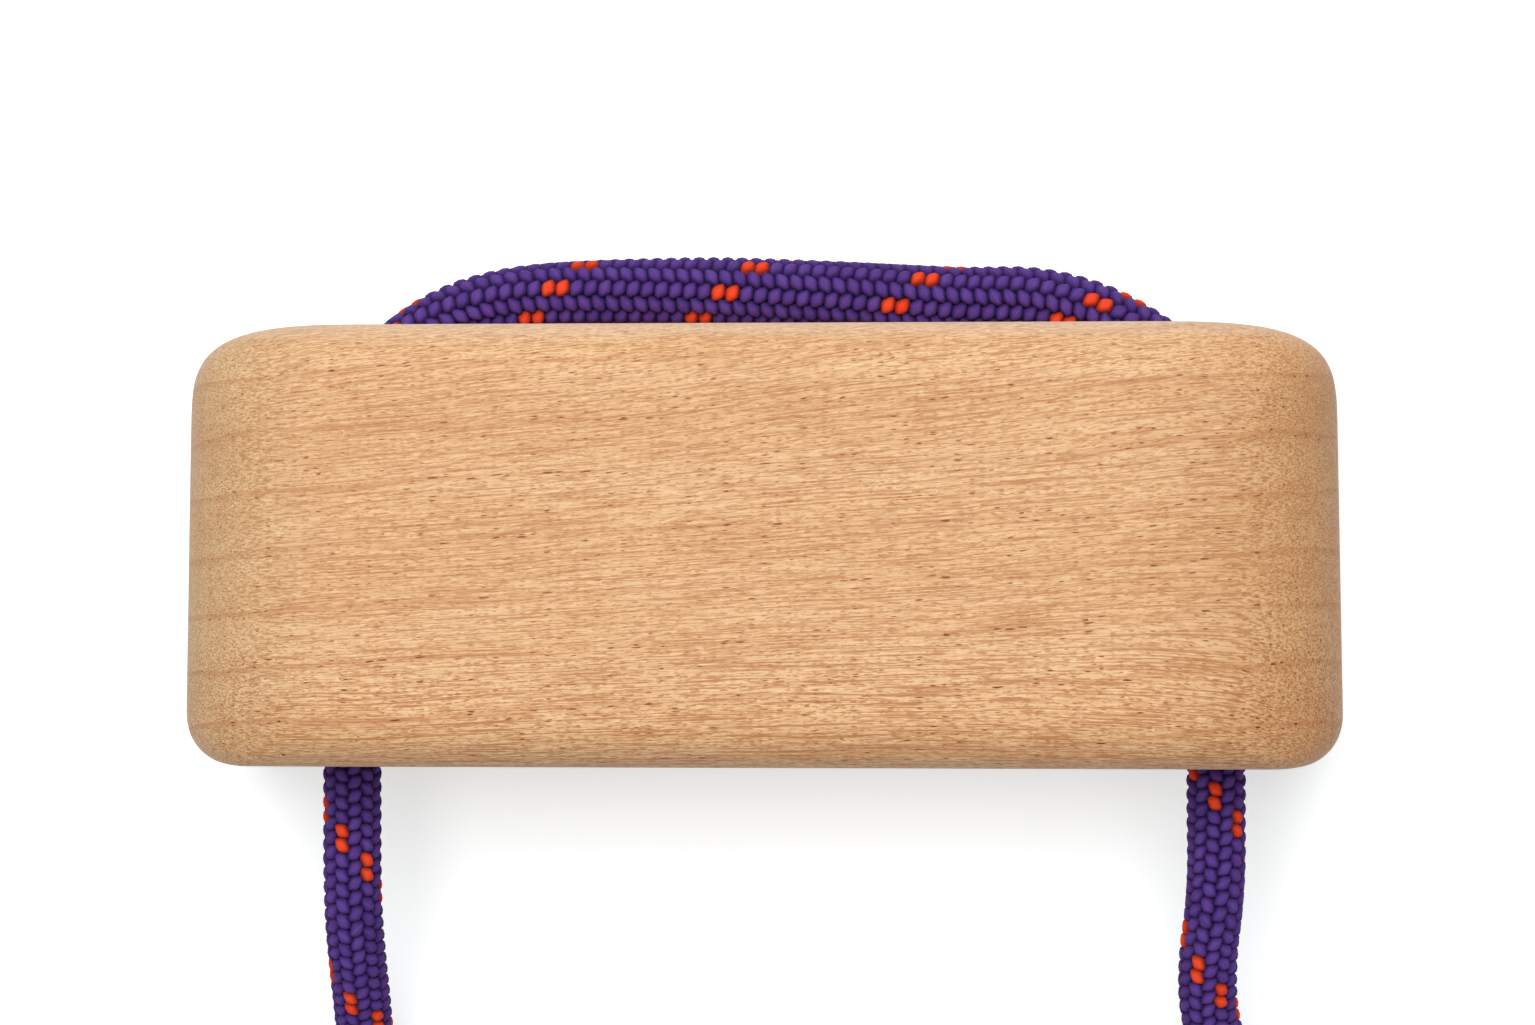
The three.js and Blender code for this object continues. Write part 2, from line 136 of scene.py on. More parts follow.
class Wiring:
    """Adds nodes to one tree and joins them as they are added."""

    def __init__(self, tree: bpy.types.NodeTree) -> None:
        """Keep the tree that the nodes go into.

        Args:
            tree: A shader or geometry tree.
        """
        self.tree = tree

    def add(self, kind: str, feeds: dict | None = None, **settings: object) -> bpy.types.Node:
        """Add a node, set it, and feed its inputs.

        Args:
            kind: The node's type name.
            feeds: A value or a source socket for each input, by name or number.
            **settings: The node's own settings.

        Returns:
            The new node.
        """
        node = self.tree.nodes.new(kind)
        for name, value in settings.items():
            setattr(node, name, value)
        self.feed(node, feeds or {})
        return node

    def feed(self, node: bpy.types.Node, feeds: dict) -> None:
        """Feed a node's inputs.

        Args:
            node: The node.
            feeds: A value or a source socket for each input, by name or number.
        """
        for key, value in feeds.items():
            if isinstance(value, Socket):
                self.tree.links.new(value, node.inputs[key])
            else:
                node.inputs[key].default_value = value

    def place(self) -> Socket:
        """Return the shaded point's place on its object, in millimetres."""
        return self.scaled(self.add("ShaderNodeTexCoord").outputs["Object"], 1 / MM)

    def bump(self, height: Feed, strength: float, distance: float, sunk: bool = False) -> Socket:
        """Turn a height into a bumped normal.

        Args:
            height: The height.
            strength: How strongly it shows.
            distance: The height's greatest reach, in metres.
            sunk: Whether it goes down into the surface.

        Returns:
            The normal.
        """
        feeds = {"Strength": strength, "Distance": distance, "Height": height}
        return self.add("ShaderNodeBump", feeds, invert=sunk).outputs[0]

    def _worked(self, kind: str, operation: str, values: Sequence[Feed]) -> Socket:
        """Add an arithmetic node that is fed the values in order, and return its output."""
        return self.add(kind, dict(enumerate(values)), operation=operation).outputs[0]

    def math(self, operation: str, *values: Feed) -> Socket:
        """Return what a Math node makes of the values."""
        return self._worked("ShaderNodeMath", operation, values)

    def vector(self, operation: str, *values: Feed) -> Socket:
        """Return the vector that a Vector Math node makes of the values."""
        return self._worked("ShaderNodeVectorMath", operation, values)

    def scaled(self, vector: Feed, scale: Feed) -> Socket:
        """Return the vector times a number."""
        feeds = {0: vector, 3: scale}
        return self.add("ShaderNodeVectorMath", feeds, operation="SCALE").outputs[0]

    def whole(self, operation: str, *values: Feed) -> Socket:
        """Return the whole number that an Integer Math node makes of the values."""
        return self._worked("FunctionNodeIntegerMath", operation, values)

    def ramp(self, value: Feed, low: float, high: float, start: float = 0.0,
             end: float = 1.0) -> Socket:
        """Spread a value smoothly from a range to another one.

        Args:
            value: The value that is spread.
            low: Where the first range begins.
            high: Where the first range ends.
            start: What low becomes.
            end: What high becomes.

        Returns:
            The output socket.
        """
        feeds = {0: value, 1: low, 2: high, 3: start, 4: end}
        settings = {"interpolation_type": "SMOOTHSTEP"}
        return self.add("ShaderNodeMapRange", feeds, **settings).outputs[0]

    def mix(self, share: Feed, first: Feed, second: Feed, blend: str = "MIX") -> Socket:
        """Mix two colours.

        Args:
            share: How much of the second colour shows.
            first: The first colour.
            second: The second colour.
            blend: The way the second lies on the first.

        Returns:
            The output socket.
        """
        settings = {"data_type": "RGBA", "blend_type": blend}
        return self.add("ShaderNodeMix", {0: share, 6: first, 7: second}, **settings).outputs[2]


@functools.cache
def streak_group() -> bpy.types.NodeTree:
    """Make the group that wood grain and yarn share, once: noise drawn out into streaks.

    Returns:
        The shader node group, with inputs Place, Stretch, Detail, Low and High.
    """
    tree = bpy.data.node_groups.new("Drawn Out Streaks", "ShaderNodeTree")
    sockets = tree.interface
    sockets.new_socket("Place", in_out="INPUT", socket_type="NodeSocketVector")
    sockets.new_socket("Stretch", in_out="INPUT", socket_type="NodeSocketVector")
    for name, value in (("Detail", 2.0), ("Low", 0.4), ("High", 0.6)):
        socket = sockets.new_socket(name, in_out="INPUT", socket_type="NodeSocketFloat")
        socket.default_value = value
    sockets.new_socket("Mask", in_out="OUTPUT", socket_type="NodeSocketFloat")
    wiring = Wiring(tree)
    given = wiring.add("NodeGroupInput").outputs
    drawn = wiring.vector("MULTIPLY", given["Place"], given["Stretch"])
    noise = wiring.add("ShaderNodeTexNoise", {"Vector": drawn, "Detail": given["Detail"],
                                              "Scale": 1.0, "Roughness": NOISE_ROUGHNESS})
    feeds = {0: noise.outputs[0], 1: given["Low"], 2: given["High"]}
    mask = wiring.add("ShaderNodeMapRange", feeds, interpolation_type="SMOOTHSTEP")
    wiring.add("NodeGroupOutput", {"Mask": mask.outputs[0]})
    return tree


@dataclass(frozen=True)
class Streaks:
    """A layer of streaks: how many to a unit, the noise at which they show, and how strongly."""

    stretch: Triple
    low: float
    high: float
    share: float = 1.0
    detail: float = 2.0

    def mask(self, wiring: Wiring, place: Feed) -> Socket:
        """Place the streak group in a material with this layer's values.

        Args:
            wiring: The material's wiring.
            place: The point that the pattern is read at.

        Returns:
            The mask socket.
        """
        feeds = {"Place": place, "Stretch": self.stretch, "Detail": self.detail,
                 "Low": self.low, "High": self.high}
        return wiring.add("ShaderNodeGroup", feeds, node_tree=streak_group()).outputs["Mask"]


@dataclass(frozen=True)
class Dashes:
    """A layer of short dashes: cells to a millimetre, and the share of them without a dash.

    The size is the largest dash's half length, as a share of its cell.
    """

    stretch: Triple
    rarity: float
    size: float
    share: float
    edge: Ramp = (0.0, 0.1)
    stain: Ramp = (-0.16, 0.02)
    stained: Ramp = (0.02, 0.2)

    def masks(self, wiring: Wiring, grain: Feed, size: Feed) -> tuple[Socket, Socket]:
        """Scatter the dashes along the grain.

        Args:
            wiring: The material's wiring.
            grain: The bent place.
            size: The size, which may change over the surface.

        Returns:
            The mask of the dashes, and of the stain round them.
        """
        drawn = wiring.vector("MULTIPLY", grain, self.stretch)
        cells = wiring.add("ShaderNodeTexVoronoi", {"Vector": drawn, "Scale": 1.0,
                                                    "Randomness": 1.0})
        chance = wiring.add("ShaderNodeSeparateXYZ", {0: cells.outputs["Color"]}).outputs
        largest = wiring.math("MULTIPLY", wiring.ramp(chance[0], self.rarity, 1.0), size)
        near = wiring.math("SUBTRACT", largest, cells.outputs["Distance"])
        stained = wiring.math("MULTIPLY", wiring.ramp(near, *self.stain),
                              wiring.ramp(largest, *self.stained))
        return wiring.ramp(near, *self.edge), stained


def new_material(name: str) -> tuple[Material, Wiring, bpy.types.Node]:
    """Make a material with one Principled shader.

    Args:
        name: The material's name.

    Returns:
        The material, its wiring and its shader node.
    """
    material = bpy.data.materials.new(name)
    material.use_nodes = True
    shader = material.node_tree.nodes["Principled BSDF"]
    return material, Wiring(material.node_tree), shader


@dataclass(frozen=True)
class Grain:
    """How rings and fibres run through the wood, in millimetres."""

    ring_spacing: float = 6.57
    first_ring: float = 122.87
    pith: float = 120.0
    pith_level: float = 19.0
    rise: float = 0.045
    bend_from: float = 10.0
    bend: float = 0.0006
    wander: Triple = (0.03, 0.07, 0.07)
    wander_reach: float = 3.0
    slant: float = 0.08
    slant_change: float = 0.002
    sinking: Ramp = (-6.0, -22.0, 0.0, 0.001)
    end_from: float = 40.0
    end_sinking: float = 0.0016
    ruffles: Triple = (0.8, 2.2, 2.2)
    ruffle_reach: Triple = (0.7, 0.4, 0.4)
    ruffling: Ramp = (-30.0, -60.0, 0.65, 1.35)
    band: Ramp = (0.76, 0.97)
    line: Ramp = (0.86, 0.96)
    ring_end: Ramp = (0.97, 1.0, 1.0, 0.0)
    left_band: Ramp = (-10.0, -60.0, 0.4, 1.0)
    right_band: Ramp = (20.0, 62.0, 0.0, 0.45)

    def follow(self, wiring: Wiring, place: Feed) -> tuple[Socket, Socket]:
        """Bend the place along the rings, and along the fibres, which cross them at a slant.

        Args:
            wiring: The material's wiring.
            place: The point in millimetres.

        Returns:
            The place bent along the rings, and along the fibres.
        """
        parts = wiring.add("ShaderNodeSeparateXYZ", {0: place}).outputs
        beyond = wiring.math("MAXIMUM", wiring.math("SUBTRACT", parts[0], self.bend_from), 0.0)
        bent = wiring.math("MULTIPLY", wiring.math("POWER", beyond, 2.0), self.bend)
        rise = wiring.math("MULTIPLY_ADD", parts[0], self.rise, bent)
        slow = wiring.vector("MULTIPLY", place, self.wander)
        wander = wiring.add("ShaderNodeTexNoise", {"Vector": slow, "Scale": 1.0, "Detail": 2.0})
        shift = wiring.math("MULTIPLY_ADD", wander.outputs[0], self.wander_reach,
                            -self.wander_reach / 2)
        level = wiring.math("ADD", wiring.math("SUBTRACT", parts[1], rise), shift)
        grain = wiring.add("ShaderNodeCombineXYZ", {0: parts[0], 1: level, 2: parts[2]})
        slant = wiring.math("MULTIPLY_ADD", parts[1], self.slant_change, self.slant)
        low = wiring.ramp(parts[1], *self.sinking)
        sunk = wiring.math("MULTIPLY", wiring.math("POWER", beyond, 2.0), low)
        last = wiring.math("MAXIMUM", wiring.math("SUBTRACT", parts[0], self.end_from), 0.0)
        sunk = wiring.math("MULTIPLY_ADD", wiring.math("POWER", last, 2.0), self.end_sinking,
                           sunk)
        climb = wiring.math("SUBTRACT", wiring.math("MULTIPLY", parts[0], slant), sunk)
        half = wiring.math("MULTIPLY", shift, 0.5)
        level = wiring.math("ADD", wiring.math("SUBTRACT", parts[1], climb), half)
        fibre = wiring.add("ShaderNodeCombineXYZ", {0: parts[0], 1: level, 2: parts[2]})
        return grain.outputs[0], fibre.outputs[0]

    def ruffled(self, wiring: Wiring, grain: Feed) -> Socket:
        """Ruffle the grain, so that its dashes come out short and wavy.

        Args:
            wiring: The material's wiring.
            grain: The bent place.

        Returns:
            The ruffled place.
        """
        drawn = wiring.vector("MULTIPLY", grain, self.ruffles)
        noise = wiring.add("ShaderNodeTexNoise", {"Vector": drawn, "Scale": 1.0, "Detail": 1.0})
        push = wiring.vector("SUBTRACT", noise.outputs["Color"], (0.5, 0.5, 0.5))
        moved = wiring.vector("MULTIPLY", push, self.ruffle_reach)
        across = wiring.add("ShaderNodeSeparateXYZ", {0: grain}).outputs[0]
        moved = wiring.scaled(moved, wiring.ramp(across, *self.ruffling))
        return wiring.vector("ADD", grain, moved)

    def rings(self, wiring: Wiring, grain: Feed) -> tuple[Socket, Socket]:
        """Mark the dark side of each growth ring.

        Args:
            wiring: The material's wiring.
            grain: The bent place.

        Returns:
            The mask of the rings, strongest at the left end, and of the thin line they end in.
        """
        parts = wiring.add("ShaderNodeSeparateXYZ", {0: grain}).outputs
        inwards = wiring.math("SUBTRACT", self.pith, parts[1])
        level = wiring.math("SUBTRACT", parts[2], self.pith_level)
        squares = wiring.math("ADD", wiring.math("POWER", inwards, 2.0),
                              wiring.math("POWER", level, 2.0))
        past = wiring.math("SUBTRACT", self.first_ring, wiring.math("SQRT", squares))
        turn = wiring.math("FRACT", wiring.math("DIVIDE", past, self.ring_spacing))
        growing = wiring.ramp(turn, *self.band)
        ended = wiring.ramp(turn, *self.ring_end)
        band = wiring.math("MULTIPLY", wiring.math("POWER", growing, 2.0), ended)
        line = wiring.math("MULTIPLY", wiring.ramp(turn, *self.line), ended)
        left = wiring.ramp(parts[0], *self.left_band)
        right = wiring.ramp(parts[0], *self.right_band)
        return wiring.math("MULTIPLY", band, wiring.math("ADD", left, right)), line


@dataclass(frozen=True)
class OiledHardwood:
    """Pale hardwood, smoothed with fine abrasive and lightly oiled. Lengths are in millimetres."""

    pale: Tint = (238, 194, 145)
    warm: Tint = (224, 172, 120)
    bright: Tint = (250, 212, 165)
    streak: Tint = (184, 118, 68)
    late: Tint = (198, 134, 86)
    halo: Tint = (188, 112, 48)
    pore: Tint = (104, 48, 14)
    # Painted shade: the right end is multiplied darker, less so towards the top.
    right_end_shade: Tint = (232, 224, 213)
    # Painted shade: the left end is multiplied a little darker, mostly in red.
    left_end_shade: Tint = (241, 248, 250)
    # Painted highlight: the rounded top edge is mixed towards a pale tint.
    top_edge_highlight: Tint = (244, 222, 198)
    grain: Grain = Grain()
    broad: Streaks = Streaks((0.014, 0.14, 0.14), 0.35, 0.65, 0.6)
    soft: Streaks = Streaks((0.09, 1.1, 1.1), 0.42, 0.72, 0.2)
    light: Streaks = Streaks((0.6, 4.6, 4.6), 0.5, 0.62, 0.5)
    fine: Streaks = Streaks((0.7, 5.8, 5.8), 0.5, 0.6, 0.52)
    hair: Streaks = Streaks((0.08, 5.4, 5.4), 0.51, 0.6, 0.62, 3.0)
    dashes: Dashes = Dashes((0.95, 5.0, 5.0), 0.2, 0.4, 0.72)
    pores: Dashes = Dashes((0.68, 4.1, 4.1), 0.72, 0.3, 0.76)
    crowding: float = 0.2
    ring_share: float = 0.46
    halo_share: float = 0.55
    # Grain marks grow stronger towards the bottom: partly real grain contrast, partly painted
    # shade on the lower front.
    low_grain_and_shade: Ramp = (-12.0, -22.0, 1.0, 1.3)
    # Where the painted shade on the right and left ends and the painted highlight on the top edge
    # begin and end.
    right_end_shade_across: Ramp = (40.0, 65.0)
    right_end_shade_up: Ramp = (12.0, 20.0, 1.0, 0.35)
    left_end_shade_across: Ramp = (-46.0, -64.0)
    top_edge_highlight_up: Ramp = (19.2, 21.2, 0.0, 0.26)
    top_edge_highlight_out: Ramp = (27.0, 33.0)
    fine_matt: float = 0.08
    fine_depth: float = 0.5
    pore_depth: float = 1.5
    relief: tuple[float, float] = (0.35, 0.00008)
    roughness: float = 0.6
    specular: float = 0.4
    sheen: float = 0.12
    sheen_roughness: float = 0.45

    def material(self) -> Material:
        """Build the wood from the inside out, so that its ends show end grain.

        Returns:
            The material.
        """
        material, wiring, shader = new_material("Oiled Hardwood")
        place = wiring.place()
        grain, fibre = self.grain.follow(wiring, place)
        ring, line = self.grain.rings(wiring, grain)
        ruffled = self.grain.ruffled(wiring, fibre)
        broad = self.broad.mask(wiring, grain)
        soft = self.soft.mask(wiring, fibre)
        light = self.light.mask(wiring, ruffled)
        fine = self.fine.mask(wiring, wiring.vector("ADD", ruffled, APART))
        hair = self.hair.mask(wiring, fibre)
        dashes = self.dashes.masks(wiring, ruffled, self.dashes.size)[0]
        crowded = wiring.math("MULTIPLY_ADD", line, self.crowding, self.pores.size)
        pores, halos = self.pores.masks(wiring, ruffled, crowded)
        parts = wiring.add("ShaderNodeSeparateXYZ", {0: place}).outputs
        # Stronger marks towards the bottom, partly painted shade.
        low_grain_and_shade_share = wiring.ramp(parts[1], *self.low_grain_and_shade)
        colour = wiring.mix(wiring.math("MULTIPLY", broad, self.broad.share), srgb(*self.pale),
                            srgb(*self.warm))
        for mask, share, tint in ((soft, self.soft.share, self.streak),
                                  (light, self.light.share, self.bright),
                                  (fine, self.fine.share, self.streak),
                                  (hair, self.hair.share, self.streak),
                                  (ring, self.ring_share, self.late),
                                  (dashes, self.dashes.share, self.streak),
                                  (halos, self.halo_share, self.halo),
                                  (pores, self.pores.share, self.pore)):
            shown = wiring.math("MULTIPLY", mask, wiring.math("MULTIPLY", low_grain_and_shade_share, share))
            colour = wiring.mix(shown, colour, srgb(*tint))
        # Painted shade on both ends and a painted highlight on the top edge.
        colour = self._painted_shade_and_highlight(wiring, parts, colour)
        matt = wiring.math("MULTIPLY_ADD", fine, self.fine_matt, self.roughness)
        height = wiring.math("MULTIPLY_ADD", pores, self.pore_depth,
                             wiring.math("MULTIPLY", fine, self.fine_depth))
        wiring.feed(shader, {"Base Color": colour, "Roughness": matt,
                             "Normal": wiring.bump(height, *self.relief, sunk=True),
                             "Specular IOR Level": self.specular, "Sheen Weight": self.sheen,
                             "Sheen Roughness": self.sheen_roughness})
        return material

    def _painted_shade_and_highlight(self, wiring: Wiring, parts: Sequence[Socket], colour: Feed) -> Socket:
        """Paint shade on both ends, darker on the right and greyer on the left, and a pale
        highlight on the rounded upper edge.

        Args:
            wiring: The material's wiring.
            parts: The place across, up and out of the block.
            colour: The bare wood's colour.

        Returns:
            The weathered colour.
        """
        across, up, out = parts
        # Painted shade on the right end, weaker towards the top.
        right_end_shade_mask = wiring.math("MULTIPLY", wiring.ramp(across, *self.right_end_shade_across),
                              wiring.ramp(up, *self.right_end_shade_up))
        colour = wiring.mix(right_end_shade_mask, colour, srgb(*self.right_end_shade), "MULTIPLY")
        # Painted shade on the left end.
        colour = wiring.mix(wiring.ramp(across, *self.left_end_shade_across), colour,
                            srgb(*self.left_end_shade), "MULTIPLY")
        # Painted highlight along the rounded top edge, towards the front.
        eased = wiring.math("MULTIPLY", wiring.ramp(up, *self.top_edge_highlight_up),
                            wiring.ramp(out, *self.top_edge_highlight_out))
        return wiring.mix(eased, colour, srgb(*self.top_edge_highlight))


@dataclass(frozen=True)
class BraidedPolyamide:
    """The cord's sheath: purple yarns and a pair of orange ones."""

    purple: Tint = (101, 68, 153)
    shaded: Tint = (76, 46, 124)
    orange: Tint = (255, 84, 44)
    burnt: Tint = (236, 58, 30)
    # Painted shade: the floats are multiplied darker towards their rims, where they dive into the
    # gaps.
    rim: Tint = (112, 92, 132)
    # Painted shade: the core's near-black purple stands in for the shaded gaps between floats,
    # flecked with lint.
    gap: Tint = (36, 17, 62)
    lint: Tint = (46, 24, 78)
    melt: Tint = (44, 28, 72)
    clot: Tint = (78, 54, 112)
    filaments: Streaks = Streaks((1.3, 11.0, 1.0), 0.34, 0.66, 0.45)
    lint_spots: Streaks = Streaks((2.0, 2.0, 2.0), 0.4, 0.6)
    clots: Streaks = Streaks((0.9, 0.9, 0.9), 0.38, 0.62, detail=3.0)
    shade_share: float = 0.4
    # How strong the painted rim shade is, how it spreads, and where it begins.
    rim_shade_share: float = 0.7
    rim_shade_power: float = 1.4
    rim_shade_from: Ramp = (0.12, 1.0)
    relief: tuple[float, float] = (0.4, 0.00005)
    roughness: float = 0.75
    specular: float = 0.14
    sheen: float = 0.02
    sheen_roughness: float = 0.5
    core_roughness: float = 0.9
    core_specular: float = 0.1
    melt_roughness: Ramp = (0.0, 1.0, 0.3, 0.5)
    melt_relief: tuple[float, float] = (0.6, 0.0003)

    def material(self) -> Material:
        """Dress the floats: filaments along the strand, and painted shade darkening each float
        towards its rim.

        Returns:
            The material.
        """
        material, wiring, shader = new_material("Braided Yarn")
        strand = wiring.add("ShaderNodeUVMap", uv_map="Strand").outputs[0]
        shade = wiring.add("ShaderNodeAttribute", attribute_name="shade").outputs["Fac"]
        orange = wiring.add("ShaderNodeAttribute", attribute_name="orange").outputs["Fac"]
        moved = wiring.vector("ADD", strand, wiring.scaled(APART, shade))
        filaments = self.filaments.mask(wiring, moved)
        parts = wiring.add("ShaderNodeSeparateXYZ", {0: strand}).outputs
        along, across = (wiring.math("ABSOLUTE", wiring.math("MULTIPLY_ADD", part, 2.0, -1.0))
                         for part in parts[:2])
        # Painted shade: the distance from the float's middle, which darkens it towards its rim.
        spread = wiring.math("ADD", wiring.math("POWER", along, self.rim_shade_power),
                             wiring.math("POWER", across, self.rim_shade_power))
        rim = wiring.ramp(spread, *self.rim_shade_from)
        tone = wiring.math("MULTIPLY_ADD", filaments, self.filaments.share,
                           wiring.math("MULTIPLY", shade, self.shade_share))
        purple = wiring.mix(tone, srgb(*self.purple), srgb(*self.shaded))
        red = wiring.mix(tone, srgb(*self.orange), srgb(*self.burnt))
        colour = wiring.mix(orange, purple, red)
        # Multiply in the rim's painted shade.
        dark = wiring.mix(1.0, colour, srgb(*self.rim), "MULTIPLY")
        colour = wiring.mix(wiring.math("MULTIPLY", rim, self.rim_shade_share), colour, dark)
        wiring.feed(shader, {"Base Color": colour, "Roughness": self.roughness,
                             "Normal": wiring.bump(filaments, *self.relief, sunk=True),
                             "Specular IOR Level": self.specular, "Sheen Weight": self.sheen,
                             "Sheen Roughness": self.sheen_roughness})
        return material

    def core_material(self) -> Material:
        """Dress what shows between the floats: a near-black purple that is painted shade of the
        gaps.

        Returns:
            The material.
        """
        material, wiring, shader = new_material("Cord Core")
        lint = self.lint_spots.mask(wiring, wiring.place())
        # Painted shade of the gaps, flecked with lint.
        colour = wiring.mix(lint, srgb(*self.gap), srgb(*self.lint))
        wiring.feed(shader, {"Base Color": colour, "Roughness": self.core_roughness,
                             "Specular IOR Level": self.core_specular})
        return material

    def melted_material(self) -> Material:
        """Dress the cord's ends, where the sheath is melted shut.

        Returns:
            The material.
        """
        material, wiring, shader = new_material("Melted Sheath")
        clots = self.clots.mask(wiring, wiring.place())
        colour = wiring.mix(clots, srgb(*self.melt), srgb(*self.clot))
        wiring.feed(shader, {"Base Color": colour,
                             "Roughness": wiring.ramp(clots, *self.melt_roughness),
                             "Normal": wiring.bump(clots, *self.melt_relief)})
        return material


def catmull_rom(points: Points, per_span: int = 16) -> Points:
    """Sample the smooth centripetal curve through the points.

    Args:
        points: The points that the curve goes through.
        per_span: Samples between two points.

    Returns:
        The samples, the last point included.
    """
    ends = [2 * points[0] - points[1], *points, 2 * points[-1] - points[-2]]
    share = (np.arange(per_span) / per_span)[:, None]
    parts = []
    for a, b, c, d in zip(ends, ends[1:], ends[2:], ends[3:]):
        first, middle, last = (max(np.linalg.norm(q - p) ** 0.5, LEAST_STEP)
                               for p, q in ((a, b), (b, c), (c, d)))
        leave = ((b - a) / first - (c - a) / (first + middle) + (c - b) / middle) * middle
        reach = ((c - b) / middle - (d - b) / (middle + last) + (d - c) / last) * middle
        cubic = 2 * b - 2 * c + leave + reach
        square = 3 * c - 3 * b - 2 * leave - reach
        parts.append(b + share * (leave + share * (square + share * cubic)))
    return np.vstack([*parts, points[-1][None]])


def lengths_along(points: Points) -> Points:
    """Return the length along a line up to each of its points."""
    steps = np.linalg.norm(np.diff(points, axis=0), axis=1)
    return np.concatenate([[0.0], np.cumsum(steps)])


def resample(points: Points, spacing: float) -> Points:
    """Put points at an even spacing along a line.

    Args:
        points: The line's points.
        spacing: The wanted distance between two points.

    Returns:
        The new points, both ends included.
    """
    along = lengths_along(points)
    count = max(2, round(along[-1] / spacing) + 1)
    wanted = np.linspace(0.0, along[-1], count)
    return np.stack([np.interp(wanted, along, points[:, k]) for k in range(3)], axis=1)


def unit(vectors: Points) -> Points:
    """Return vectors brought to a length of 1."""
    return vectors / np.linalg.norm(vectors, axis=-1, keepdims=True)


def round_angles(count: int) -> Points:
    """Return evenly spaced angles all round a circle."""
    return np.linspace(0, 2 * math.pi, count, endpoint=False)


def spokes(angles: Points, first: Points, second: Points) -> Points:
    """Return the unit vectors at the angles from the first unit vector to the second."""
    return np.cos(angles)[:, None] * first + np.sin(angles)[:, None] * second


def quads(turns: int, sides: int) -> list[list[int]]:
    """Join rings of vertices that follow each other.

    Args:
        turns: How many rings there are.
        sides: How many vertices each has.

    Returns:
        The vertex numbers of the faces between them.
    """
    faces = []
    for start in range(0, (turns - 1) * sides, sides):
        for k in range(sides):
            a, b = start + k, start + (k + 1) % sides
            faces.append([a, b, b + sides, a + sides])
    return faces


def mesh_object(name: str, vertices: Points, faces: Sequence[Sequence[int]],
                edges: Sequence[tuple[int, int]] = ()) -> Piece:
    """Make a mesh object at the origin and link it to the scene.

    Args:
        name: The object's name.
        vertices: The vertices' places.
        faces: Each face's vertex numbers.
        edges: Loose edges' vertex numbers.

    Returns:
        The object.
    """
    mesh = bpy.data.meshes.new(name)
    mesh.from_pydata(np.asarray(vertices).tolist(), list(edges), [list(f) for f in faces])
    mesh.validate()
    made = bpy.data.objects.new(name, mesh)
    bpy.context.scene.collection.objects.link(made)
    return made


def closed_object(name: str, rings: Points) -> Piece:
    """Join rings of equal length into a closed shape, with its faces outwards.

    Args:
        name: The object's name.
        rings: The rings, from one cap to the other.

    Returns:
        The object.
    """
    turns, count = rings.shape[:2]
    caps = [list(range(count))[::-1], list(range((turns - 1) * count, turns * count))]
    made = mesh_object(name, rings.reshape(-1, 3), quads(turns, count) + caps)
    shape = bmesh.new()
    shape.from_mesh(made.data)
    bmesh.ops.remove_doubles(shape, verts=shape.verts, dist=MERGED)
    bmesh.ops.recalc_face_normals(shape, faces=shape.faces)
    shape.to_mesh(made.data)
    shape.free()
    return made


def bake_modifiers(made: Piece) -> None:
    """Turn what the modifiers give into the object's own plain mesh.

    Args:
        made: The object, whose modifiers are then removed.
    """
    evaluated = made.evaluated_get(bpy.context.evaluated_depsgraph_get())
    mesh = bpy.data.meshes.new_from_object(evaluated)
    made.modifiers.clear()
    made.data = mesh


def drop(*unneeded: Piece) -> None:
    """Remove helper objects once what they shaped is finished."""
    for made in unneeded:
        bpy.data.objects.remove(made)


